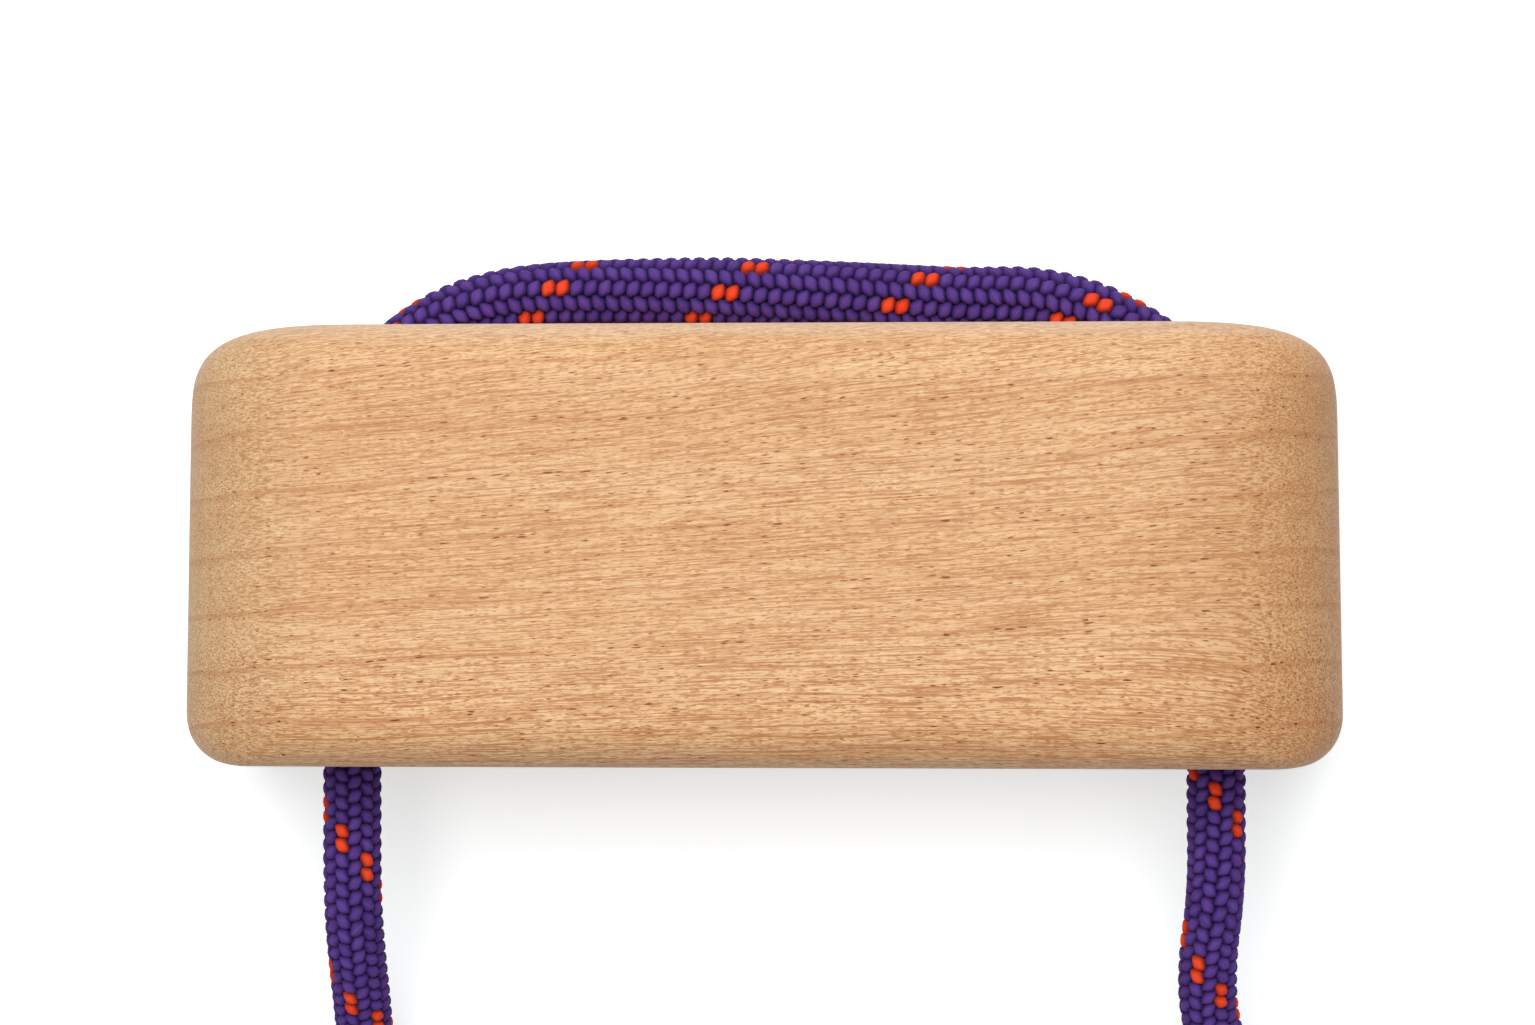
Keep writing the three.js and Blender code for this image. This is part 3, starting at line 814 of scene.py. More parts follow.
@dataclass
class WoodBlock:
    """The rounded block with its bores, channel and finger pocket, in millimetres."""

    width: float = 135.5
    height: float = 51.5
    depth: float = 38.0
    side_lean: float = 0.9
    top_corner_length: float = 21.1
    top_corner_drop: float = 11.8
    top_corner_power: float = 3.6
    bottom_corner_radius: float = 5.9
    end_ease_length: float = 14.0
    end_ease_depth: float = 12.0
    edge_ease: float = 6.4
    back_ease: float = 5.0
    bore_diameter: float = 9.5
    bore_end_distance: float = 16.5
    bore_shift: float = 2.0
    bore_axis_height: float = 19.0
    bore_mouth_ease: float = 3.8
    channel_clearance: float = 1.2
    pocket_bore_wall: float = 4.5
    pocket_height: float = 24.0
    pocket_depth: float = 20.0
    pocket_lip_ease: float = 4.0
    pocket_floor_ease: float = 5.0
    middle_y: float = -3.95
    corner_steps: int = 26
    ease_steps: int = 16
    pocket_end_points: int = 33
    bore_sides: int = 48
    channel_sides: int = 32
    channel_step: float = 1.2
    voxel: float = 0.62
    smoothing: int = 9
    smoothing_factor: float = 0.5
    finish: OiledHardwood = field(default_factory=OiledHardwood)

    @property
    def top(self) -> float:
        """The top edge's place along Y."""
        return self.middle_y + self.height / 2

    @property
    def bottom(self) -> float:
        """The bottom edge's place along Y."""
        return self.middle_y - self.height / 2

    @property
    def bore_spacing(self) -> float:
        """The distance between the bores' axes."""
        return self.width - 2 * self.bore_end_distance

    @property
    def bores(self) -> tuple[float, float]:
        """The left and the right bore's place along X."""
        return (self.bore_shift - self.bore_spacing / 2, self.bore_shift + self.bore_spacing / 2)

    def build(self, bridge: Points, cord_radius: float) -> Piece:
        """Make the block, cut it, round what the cuts leave and dress it.

        Args:
            bridge: The bridge's points, which the channel follows.
            cord_radius: The cord's radius.

        Returns:
            The finished piece.
        """
        made = closed_object("wood_block", self._outer_rings())
        radius = cord_radius + self.channel_clearance
        cutters = [closed_object("pocket_cut", self._pocket_rings()),
                   *(closed_object("bore_cut", self._bore_rings(x)) for x in self.bores),
                   closed_object("channel_cut", self._channel(bridge, radius))]
        for cutter in cutters:
            cut = made.modifiers.new(cutter.name, "BOOLEAN")
            cut.operation, cut.object, cut.solver = "DIFFERENCE", cutter, "EXACT"
        even = made.modifiers.new("Even", "REMESH")
        even.mode, even.voxel_size, even.use_smooth_shade = "VOXEL", self.voxel, True
        sand = made.modifiers.new("Sand", "SMOOTH")
        sand.factor, sand.iterations = self.smoothing_factor, self.smoothing
        bake_modifiers(made)
        drop(*cutters)
        made.data.transform(Matrix.Scale(MM, 4))
        made.data.materials.clear()
        made.data.materials.append(self.finish.material())
        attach(made, Body.BLOCK.value)
        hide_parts("block")
        log.info("%s: %d faces", made.name, len(made.data.polygons))
        return made

    @staticmethod
    def _inset(depth: float, ease_depth: float, ease_length: float) -> float:
        """Return how far an eased edge has drawn back at a depth below its face."""
        share = max(0.0, 1 - depth / ease_depth)
        return ease_length * (1 - math.sqrt(1 - share ** 2))

    def _depths(self, ease_depth: float) -> list[float]:
        """Return depths below a face at which an eased edge gets a ring."""
        steps = self.ease_steps
        return [ease_depth * (1 - math.sin(math.pi / 2 * k / steps)) for k in range(steps + 1)]

    def _outline(self, end_inset: float, edge_inset: float, level: float) -> Points:
        """Draw the block's outline at one height.

        Args:
            end_inset: How far its ends stand back.
            edge_inset: How far its long edges stand back.
            level: The height.

        Returns:
            The outline's points.
        """
        half_width = self.width / 2 - end_inset
        half_height = self.height / 2 - edge_inset
        angle = np.linspace(0.0, math.pi / 2, self.corner_steps + 1)
        c, s = np.clip(np.cos(angle), 0, 1), np.clip(np.sin(angle), 0, 1)
        power = 2 / self.top_corner_power
        upper = np.stack([half_width - self.top_corner_length * (1 - c ** power),
                          half_height - self.top_corner_drop * (1 - s ** power)], axis=1)
        lower = np.stack([half_width - self.bottom_corner_radius * (1 - s),
                          -half_height + self.bottom_corner_radius * (1 - c)], axis=1)
        right = np.vstack([lower, upper])
        flat = np.vstack([right, (right * (-1, 1))[::-1]])
        climb = (flat[:, 1] + self.height / 2) / self.height
        narrowed = flat[:, 0] * (1 - self.side_lean * climb / (self.width / 2))
        return np.stack([narrowed, self.middle_y + flat[:, 1], np.full(len(flat), level)], axis=1)

    def _outer_rings(self) -> Points:
        """Return the block's outlines from its back face to its front face."""
        rings = []
        for depth in reversed(self._depths(self.back_ease)):
            inset = self._inset(depth, self.back_ease, self.back_ease)
            rings.append(self._outline(inset, inset, depth))
        front = {*self._depths(self.end_ease_depth), *self._depths(self.edge_ease)}
        for depth in sorted(front, reverse=True):
            end = self._inset(depth, self.end_ease_depth, self.end_ease_length)
            edge = self._inset(depth, self.edge_ease, self.edge_ease)
            rings.append(self._outline(end, edge, self.depth - depth))
        return np.array(rings)

    def _pocket_outline(self, inset: float, level: float) -> Points:
        """Draw the pocket's long round outline, drawn in by an inset."""
        length = self.bore_spacing - self.bore_diameter - 2 * self.pocket_bore_wall
        radius = self.pocket_height / 2 - inset
        reach = length / 2 - self.pocket_height / 2
        half = np.linspace(-math.pi / 2, math.pi / 2, self.pocket_end_points)
        points = [(side * (reach + radius * math.cos(a)), side * radius * math.sin(a))
                  for side in (1, -1) for a in half]
        return np.array([(self.bore_shift + x, self.middle_y + y, level) for x, y in points])

    def _pocket_rings(self) -> Points:
        """Return the pocket's outlines from outside its mouth to its floor."""
        lip, floor = self.pocket_lip_ease, self.pocket_floor_ease
        rings = [self._pocket_outline(-lip, -lip)]
        for depth in reversed(self._depths(lip)):
            rings.append(self._pocket_outline(-self._inset(depth, lip, lip), depth))
        for depth in self._depths(floor):
            rings.append(self._pocket_outline(self._inset(depth, floor, floor),
                                              self.pocket_depth - depth))
        return np.array(rings)

    def _bore_rings(self, x: float) -> Points:
        """Return the rings of a bore with eased mouths, along Y."""
        ease, half = self.bore_mouth_ease, self.height / 2
        radius = self.bore_diameter / 2
        upper = [(radius + self._inset(d, ease, ease), half - d) for d in self._depths(ease)]
        upper.append((radius + ease, half + ease))
        profile = [(r, -y) for r, y in reversed(upper)] + upper
        turn = round_angles(self.bore_sides)
        return np.array([np.stack([x + r * np.cos(turn), np.full(len(turn), self.middle_y + y),
                                   self.bore_axis_height + r * np.sin(turn)], axis=1)
                         for r, y in profile])

    def _channel(self, bridge: Points, radius: float) -> Points:
        """Return the rings of the channel that the bridge sinks into."""
        line = resample(catmull_rom(bridge), self.channel_step)
        up = np.array([0.0, 0.0, 1.0])
        turn = round_angles(self.channel_sides)
        return np.array([point + radius * spokes(turn, up, np.cross(way, up))
                         for point, way in zip(line, unit(np.gradient(line, axis=0)))])


@dataclass
class CordRoute:
    """The cord's centreline, stretch by stretch, in millimetres."""

    block: WoodBlock
    diameter: float = 7.0
    seat_gap: float = 0.3
    bridge_lift: float = 4.4
    leg_straight: float = 12.0
    coil_drop: float = 86.0
    coil_shift: float = -12.0
    coil_radius: float = 44.0
    coil_turns: float = 4.25
    reversal_turns: float = 0.5
    wound_gap: float = 0.5
    surface_gap: float = 0.05
    knot_shift: float = 50.5
    knot_half_length: float = 27.0
    knot_turns: float = 1.87
    run_bend: float = 16.0
    run_sag: float = 3.0
    run_bend_steps: int = 5
    wound_steps: int = 24
    bridge_shares: tuple[tuple[float, float], ...] = (
        (0, -3.2), (0.013, -1.75), (0.057, -0.6), (0.114, 0.22), (0.199, 0.79), (0.39, 1),
        (0.55, 0.91), (0.706, 0.73), (0.797, 0.66), (0.868, 0.2), (0.93, -0.6),
        (0.987, -1.75), (1, -3.2))
    bore_shares: tuple[float, ...] = (0, 0.34, 0.67)
    left_leg_shares: tuple[Triple, ...] = (
        (0.1, 0, 0.06), (0.2, 0, 0.24), (0.3, 0.01, 0.49), (0.4, 0.05, 0.73),
        (0.52, 0.2, 0.92), (0.66, 0.5, 0.99), (0.83, 0.87, 1))
    right_leg_shares: tuple[Triple, ...] = (
        (0.15, -0.1, 0.05), (0.3, -0.28, 0.22), (0.48, -0.28, 0.5), (0.65, 0.1, 0.78),
        (0.82, 0.68, 0.96))
    run_shares: tuple[float, ...] = (0.2, 0.5, 0.8)
    core_shares: tuple[float, ...] = (1, 0.6, 0.3)
    turn_out_shares: tuple[Triple, ...] = (
        (-0.63, -0.46, -0.09), (-1.04, -0.06, -0.37), (-1.46, 0.26, -0.37))
    tail_shares: tuple[Triple, ...] = (
        (-1.34, 2.89, -0.31), (-1, 3.26, -0.03), (-0.64, 3.64, 0), (-0.56, 4.1, 0),
        (-0.74, 4.8, -0.12), (-1.05, 5.4, -0.34), (-1.4, 5.95, -0.5))

    def stretches(self) -> dict[Stretch, Points]:
        """Lay every stretch, each from where it leaves the one before.

        Returns:
            The control points of each stretch, in the order along the cord.
        """
        coil = self._coil()
        half = self._knot_half()
        upper, lower = self._placed(half, 1), self._placed(half, -1)
        gap = self.seat_gap
        coil_top = coil[0] + (0, gap, 0)
        run_start = coil[-1] + (gap, 0, 0)
        run_end = upper[0] - (0, gap, 0)
        knot_top = lower[0] + (0, gap, 0)
        left, right = self.block.bores
        return {
            Stretch.UPPER_HALF: upper[::-1],
            Stretch.RUN: self._run(run_start, run_end)[::-1],
            Stretch.COIL: coil[::-1],
            Stretch.LEFT_LEG: self._leg(left, coil_top, self.left_leg_shares)[::-1],
            Stretch.THROUGH: self._through(),
            Stretch.RIGHT_LEG: self._leg(right, knot_top, self.right_leg_shares),
            Stretch.LOWER_HALF: lower,
        }

    def bridge(self) -> Points:
        """Return the bridge's points over the block's top edge."""
        left = self.block.bores[0]
        return np.array([(left + across * self.block.bore_spacing,
                          self.block.top + up * self.bridge_lift, self.block.bore_axis_height)
                         for across, up in self.bridge_shares])

    def _through(self) -> Points:
        """Return the points inside the block and over its top edge."""
        bend = self.bridge()
        rows = [self.block.bottom + share * (bend[0][1] - self.block.bottom)
                for share in self.bore_shares]
        left, right = self.block.bores
        level = self.block.bore_axis_height
        up = [(left, y, level) for y in rows]
        down = [(right, y, level) for y in reversed(rows)]
        return np.vstack([up, bend, down])

    @staticmethod
    def _straight(start: Points, end: Points) -> list[Points]:
        """Return a straight stretch's two ends and its middle."""
        return [start, (start + end) / 2, end]

    def _leg(self, bore: float, end: Points, shares: Sequence[Triple]) -> Points:
        """Lead a leg from a bore's bottom mouth down to where the next stretch begins.

        Args:
            bore: The bore's place along X.
            end: Where the leg ends.
            shares: Shares of its way along, across and down.

        Returns:
            The leg's points.
        """
        start = np.array([bore, self.block.bottom - self.seat_gap, self.block.bore_axis_height])
        turn = start - (0, self.leg_straight, 0)
        landing = end + (0, self.diameter, 0)
        way = [turn + (landing - turn) * (across, along, down) for along, across, down in shares]
        return np.array([*self._straight(start, turn), *way, *self._straight(landing, end)])

    def _coil(self) -> Points:
        """Wind the stored length: in on the low layer, and out again on the upper one."""
        pitch = self.diameter + self.wound_gap
        turns_in = (self.coil_turns - self.reversal_turns) / 2
        inner = self.coil_radius - pitch * turns_in
        dip = pitch * self.reversal_turns / math.pi
        middle = (self.block.bore_shift + self.coil_shift, self.block.bottom - self.coil_drop)
        low = self.diameter / 2 + self.surface_gap
        points = []
        for step in range(round(self.coil_turns * self.wound_steps) + 1):
            turn = step / self.wound_steps
            angle = math.pi * (1 + 2 * turn)
            share = min(max((turn - turns_in) / self.reversal_turns, 0.0), 1.0)
            outwards = max(turn - turns_in - self.reversal_turns, 0.0)
            spiral = self.coil_radius - pitch * min(turn, turns_in) + pitch * outwards
            radius = max(spiral, inner) - dip * math.sin(math.pi * share)
            climb = (1 - math.cos(math.pi * share)) / 2
            points.append((middle[0] + radius * math.cos(angle),
                           middle[1] + radius * math.sin(angle), low + pitch * climb))
        wound = np.array(points)
        lead = wound[0] + (0, self.diameter, 0)
        trail = wound[-1] + (self.diameter, 0, 0)
        return np.vstack([lead, wound, trail])

    def _run(self, start: Points, end: Points) -> Points:
        """Lead the run along the coil's foot and round a bend to the knot."""
        leave = start + (self.diameter, 0, 0)
        enter = end - (0, self.diameter, 0)
        bend_x = enter[0] - self.run_bend
        route = [np.array([leave[0] + share * (bend_x - leave[0]), start[1], 0.0])
                 for share in self.run_shares]
        for k in range(self.run_bend_steps):
            angle = math.pi / 2 * k / self.run_bend_steps
            route.append(np.array([bend_x + self.run_bend * math.sin(angle),
                                   enter[1] - self.run_bend * math.cos(angle), 0.0]))
        for k, point in enumerate(route):
            share = (k + 1) / (len(route) + 1)
            level = start[2] + share * (end[2] - start[2])
            point[2] = level - self.run_sag * math.sin(math.pi * share) ** 2
        return np.array([*self._straight(start, leave), *route, *self._straight(enter, end)])

    def _wrap(self, turns: float, y: float) -> Points:
        """Return a point on the wraps' path round the core's two strands.

        Args:
            turns: Turns from the core's left end.
            y: The place along the knot.

        Returns:
            The point.
        """
        offset, radius = (self.diameter + self.seat_gap) / 2, self.diameter + self.seat_gap
        quarter, flat = math.pi / 2 * radius, 2 * offset
        way = (turns - math.floor(turns)) * (4 * quarter + 2 * flat)

        def arc(side: int, start: float) -> Points:
            """Return the point on a round end of the path."""
            angle = start - way / radius
            return np.array([side * offset + radius * math.cos(angle), y,
                             radius * math.sin(angle)])

        if way < quarter:
            return arc(-1, math.pi)
        way -= quarter
        if way < flat:
            return np.array([way - offset, y, radius])
        way -= flat
        if way < 2 * quarter:
            return arc(1, math.pi / 2)
        way -= 2 * quarter
        if way < flat:
            return np.array([offset - way, y, -radius])
        way -= flat
        return arc(-1, -math.pi / 2)

    def _knot_half(self) -> Points:
        """Wind half the knot from its own middle, its tail last."""
        offset = (self.diameter + self.seat_gap) / 2
        core = [np.array([-offset, -self.knot_half_length * s, 0.0]) for s in self.core_shares]
        first = self.diameter / 2 + self.wound_gap
        pitch = self.diameter + self.wound_gap
        steps = round(self.knot_turns * self.wound_steps)
        wraps = [self._wrap(k / self.wound_steps, first + pitch * k / self.wound_steps)
                 for k in range(1, steps + 1)]
        out = [np.array(share) * self.diameter for share in self.turn_out_shares]
        tail = [np.array(share) * self.diameter for share in self.tail_shares]
        return np.array([*core, *out, *wraps, *tail])

    def _placed(self, half: Points, way: int) -> Points:
        """Put half the knot in its place, turned end for end where way is -1."""
        knot_y = (self.block.bottom - self.coil_drop - self.coil_radius + self.run_bend
                  + self.diameter + self.seat_gap + self.knot_half_length)
        knot_z = self.diameter / 2 + self.diameter + self.seat_gap + self.surface_gap
        return half * (way, way, 1) + (self.block.bore_shift + self.knot_shift, knot_y, knot_z)


@dataclass(frozen=True)
class BraidPattern:
    """How the sheath is plaited, in millimetres."""

    wales: int = 12
    row_spacing: float = 20.07 / 12
    row_shift: float = 0.25
    first_strand: int = 5
    angle: float = 56.0
    float_length: float = 2.62
    float_width: float = 1.8
    float_rise: float = 0.76
    foot: float = 0.3
    roundness: float = 1.5
    fullness: float = 0.8
    core_radius: float = 2.76
    core_step: float = 2.0
    seed: int = 7


def float_template(pattern: BraidPattern, detail: FloatDetail, turn: int) -> Piece:
    """Make one float of the braid, flat on its back: where a strand shows.

    Args:
        pattern: The braid's sizes.
        detail: How finely the float is faceted.
        turn: 1 where its strand turns one way round the cord, -1 for the other way.

    Returns:
        The float, in metres, with a UV map along its strand.
    """
    sides, rings = detail.value
    around = round_angles(sides)
    long, wide = (np.sign(wave) * np.abs(wave) ** (2 / pattern.roundness)
                  for wave in (np.cos(around), np.sin(around)))
    climb = [math.pi / 2 * k / rings for k in range(rings)]
    levels = [(math.cos(a) ** pattern.fullness, math.sin(a) if a else -pattern.foot)
              for a in climb]
    flat = [(long * share, wide * share, np.full(sides, rise)) for share, rise in levels]
    shape = np.vstack([np.stack(part, axis=1) for part in flat] + [np.array([[0, 0, 1.0]])])
    faces = [list(range(sides))[::-1], *quads(len(levels), sides)]
    last = (len(levels) - 1) * sides
    faces += [[last + k, last + (k + 1) % sides, len(shape) - 1] for k in range(sides)]
    angle = math.radians(pattern.angle)
    along = shape[:, 0] * pattern.float_length / 2
    across = shape[:, 1] * pattern.float_width / 2
    vertices = np.stack([along * math.cos(angle) - turn * across * math.sin(angle),
                         turn * along * math.sin(angle) + across * math.cos(angle),
                         shape[:, 2] * pattern.float_rise], axis=1) * MM
    made = mesh_object(f"float_{detail.name}_{turn}", vertices, faces)
    crease = made.data.attributes.new("sharp_edge", "BOOLEAN", "EDGE")
    crease.data.foreach_set("value", [max(edge.vertices) < sides for edge in made.data.edges])
    strand = made.data.uv_layers.new(name="Strand")
    for loop in made.data.loops:
        u, v = shape[loop.vertex_index][:2]
        strand.data[loop.index].uv = (u / 2 + 0.5, v / 2 + 0.5)
    return made


class BraidTree:
    """The Geometry Nodes tree that plaits floats round a stretch of the route."""

    SOCKETS = (("First Row", "Int"), ("Rows", "Int"), ("Wales", "Int"), ("Row Spacing", "Float"),
               ("Row Shift", "Float"), ("First Strand", "Int"), ("Cord Radius", "Float"),
               ("Core Radius", "Float"), ("Core Step", "Float"), ("Seed", "Int"),
               ("Leaning Float", "Object"), ("Counter Float", "Object"),
               ("Yarn", "Material"), ("Core", "Material"))
    PAIR_END = 1.5
    LEAN = 0.05
    CORE_SIDES = 12

    def __init__(self) -> None:
        """Build the tree once; each stretch sets its own inputs."""
        self.tree = bpy.data.node_groups.new("Plaited Cord", "GeometryNodeTree")
        sockets = self.tree.interface
        sockets.new_socket("Route", in_out="INPUT", socket_type="NodeSocketGeometry")
        self.identifiers: dict[str, str] = {}
        for name, kind in self.SOCKETS:
            socket = sockets.new_socket(name, in_out="INPUT", socket_type=f"NodeSocket{kind}")
            self.identifiers[name] = socket.identifier
        sockets.new_socket("Cord", in_out="OUTPUT", socket_type="NodeSocketGeometry")
        self.wiring = Wiring(self.tree)
        self.given = self.wiring.add("NodeGroupInput").outputs
        curve = self.wiring.add("GeometryNodeMeshToCurve", {0: self.given["Route"]}).outputs[0]
        floats = self._wrapped(self._placed_floats(), curve)
        joined = self.wiring.add("GeometryNodeJoinGeometry", {0: floats})
        self.tree.links.new(self._core(curve), joined.inputs[0])
        real = self.wiring.add("GeometryNodeRealizeInstances", {0: joined.outputs[0]})
        self.wiring.add("NodeGroupOutput", {0: real.outputs[0]})

    def _placed_floats(self) -> Socket:
        """Lay the floats out flat: along the cord in X and round it in Y.

        Returns:
            The floats as real geometry, with their tints stored.
        """
        wiring, given = self.wiring, self.given
        index = wiring.add("GeometryNodeInputIndex").outputs[0]
        wale = wiring.whole("MODULO", index, given["Wales"])
        row = wiring.whole("ADD", wiring.whole("DIVIDE_FLOOR", index, given["Wales"]),
                           given["First Row"])
        odd = wiring.whole("MODULO", wale, 2)
        shifted = wiring.math("ADD", row, given["Row Shift"])
        x = wiring.math("MULTIPLY", wiring.math("MULTIPLY_ADD", odd, 0.5, shifted),
                        given["Row Spacing"])
        girth = wiring.math("MULTIPLY", given["Cord Radius"], 2 * math.pi)
        y = wiring.math("MULTIPLY", wiring.math("DIVIDE", wale, given["Wales"]), girth)
        count = wiring.whole("MULTIPLY", given["Rows"], given["Wales"])
        place = wiring.add("ShaderNodeCombineXYZ", {0: x, 1: y}).outputs[0]
        points = wiring.add("GeometryNodePoints", {0: count, 1: place}).outputs[0]
        turned = wiring.whole("SUBTRACT", wiring.whole("ADD", row, wale), given["First Strand"])
        strand = wiring.whole("FLOORED_MODULO", turned, given["Wales"])
        pair = wiring.math("LESS_THAN", strand, self.PAIR_END)
        tint = wiring.math("MULTIPLY", pair, wiring.math("SUBTRACT", 1.0, odd))
        points = self._store(points, "orange", tint)
        shade = wiring.add("FunctionNodeRandomValue", {2: 0.0, 3: 1.0, 8: given["Seed"]})
        points = self._store(points, "shade", shade.outputs[1])
        lean = wiring.add("FunctionNodeRandomValue", {2: -self.LEAN, 3: self.LEAN,
                                                      8: given["Seed"]})
        turn = wiring.add("ShaderNodeCombineXYZ", {2: lean.outputs[1]}).outputs[0]
        joined = wiring.add("GeometryNodeJoinGeometry")
        for name, parity in (("Leaning Float", 0), ("Counter Float", 1)):
            template = wiring.add("GeometryNodeObjectInfo", {0: given[name]}).outputs[4]
            chosen = wiring.add("FunctionNodeCompare", {2: odd, 3: parity}, data_type="INT",
                                operation="EQUAL").outputs[0]
            placed = wiring.add("GeometryNodeInstanceOnPoints",
                                {0: points, 1: chosen, 2: template, 5: turn})
            self.tree.links.new(placed.outputs[0], joined.inputs[0])
        return wiring.add("GeometryNodeRealizeInstances", {0: joined.outputs[0]}).outputs[0]

    def _store(self, geometry: Feed, name: str, value: Feed) -> Socket:
        """Store a number on the points of a geometry and return it."""
        feeds = {0: geometry, 2: name, 3: value}
        return self.wiring.add("GeometryNodeStoreNamedAttribute", feeds).outputs[0]

    def _read(self, name: str, kind: str) -> Socket:
        """Return the field of a stored attribute."""
        return self.wiring.add("GeometryNodeInputNamedAttribute", {0: name},
                               data_type=kind).outputs[0]

    def _wrapped(self, floats: Feed, curve: Feed) -> Socket:
        """Bend the flat floats round the route.

        Args:
            floats: The flat floats.
            curve: The route.

        Returns:
            The sheath.
        """
        wiring, given = self.wiring, self.given
        place = wiring.add("GeometryNodeInputPosition").outputs[0]
        parts = wiring.add("ShaderNodeSeparateXYZ", {0: place}).outputs
        at, fat = (wiring.add("GeometryNodeSampleCurve", {0: curve, 1: self._read(name, kind)},
                              mode="LENGTH", data_type=kind, use_all_curves=True)
                   for name, kind in (("side", "FLOAT_VECTOR"), ("girth", "FLOAT")))
        for node in (at, fat):
            self.tree.links.new(parts[0], node.inputs["Length"])
        angle = wiring.math("DIVIDE", parts[1], given["Cord Radius"])
        side = at.outputs[0]
        across = wiring.vector("CROSS_PRODUCT", at.outputs["Tangent"], side)
        spoke = wiring.vector("ADD", wiring.scaled(side, wiring.math("COSINE", angle)),
                              wiring.scaled(across, wiring.math("SINE", angle)))
        reach = wiring.math("MULTIPLY", wiring.math("ADD", parts[2], given["Core Radius"]),
                            fat.outputs[0])
        spot = wiring.vector("ADD", at.outputs["Position"], wiring.scaled(spoke, reach))
        bent = wiring.add("GeometryNodeSetPosition", {0: floats, 2: spot}).outputs[0]
        smooth = wiring.add("GeometryNodeSetShadeSmooth", {0: bent}).outputs[0]
        return wiring.add("GeometryNodeSetMaterial", {0: smooth, 2: given["Yarn"]}).outputs[0]

    def _core(self, curve: Feed) -> Socket:
        """Fill the sheath with a dark round core.

        Args:
            curve: The route.

        Returns:
            The core's tube, closed at both ends.
        """
        wiring, given = self.wiring, self.given
        start = wiring.math("MULTIPLY", given["First Row"], given["Row Spacing"])
        rows = wiring.math("MULTIPLY", given["Rows"], given["Row Spacing"])
        feeds = {0: curve, 4: start, 5: wiring.math("ADD", start, rows)}
        part = wiring.add("GeometryNodeTrimCurve", feeds, mode="LENGTH").outputs[0]
        feeds = {0: part, 3: given["Core Step"]}
        even = wiring.add("GeometryNodeResampleCurve", feeds, mode="LENGTH").outputs[0]
        ring = wiring.add("GeometryNodeCurvePrimitiveCircle",
                          {0: self.CORE_SIDES, 4: given["Core Radius"]})
        tube = wiring.add("GeometryNodeCurveToMesh",
                          {0: even, 1: ring.outputs[0], 2: self._read("girth", "FLOAT"), 3: True})
        smooth = wiring.add("GeometryNodeSetShadeSmooth", {0: tube.outputs[0]}).outputs[0]
        return wiring.add("GeometryNodeSetMaterial", {0: smooth, 2: given["Core"]}).outputs[0]


@dataclass(frozen=True)
class LaidCord:
    """The laid cord's points, its braid's side and fullness there, and its stretches' ranges."""

    points: Points
    sides: Points
    girths: Points
    ranges: dict[Stretch, tuple[float, float]]


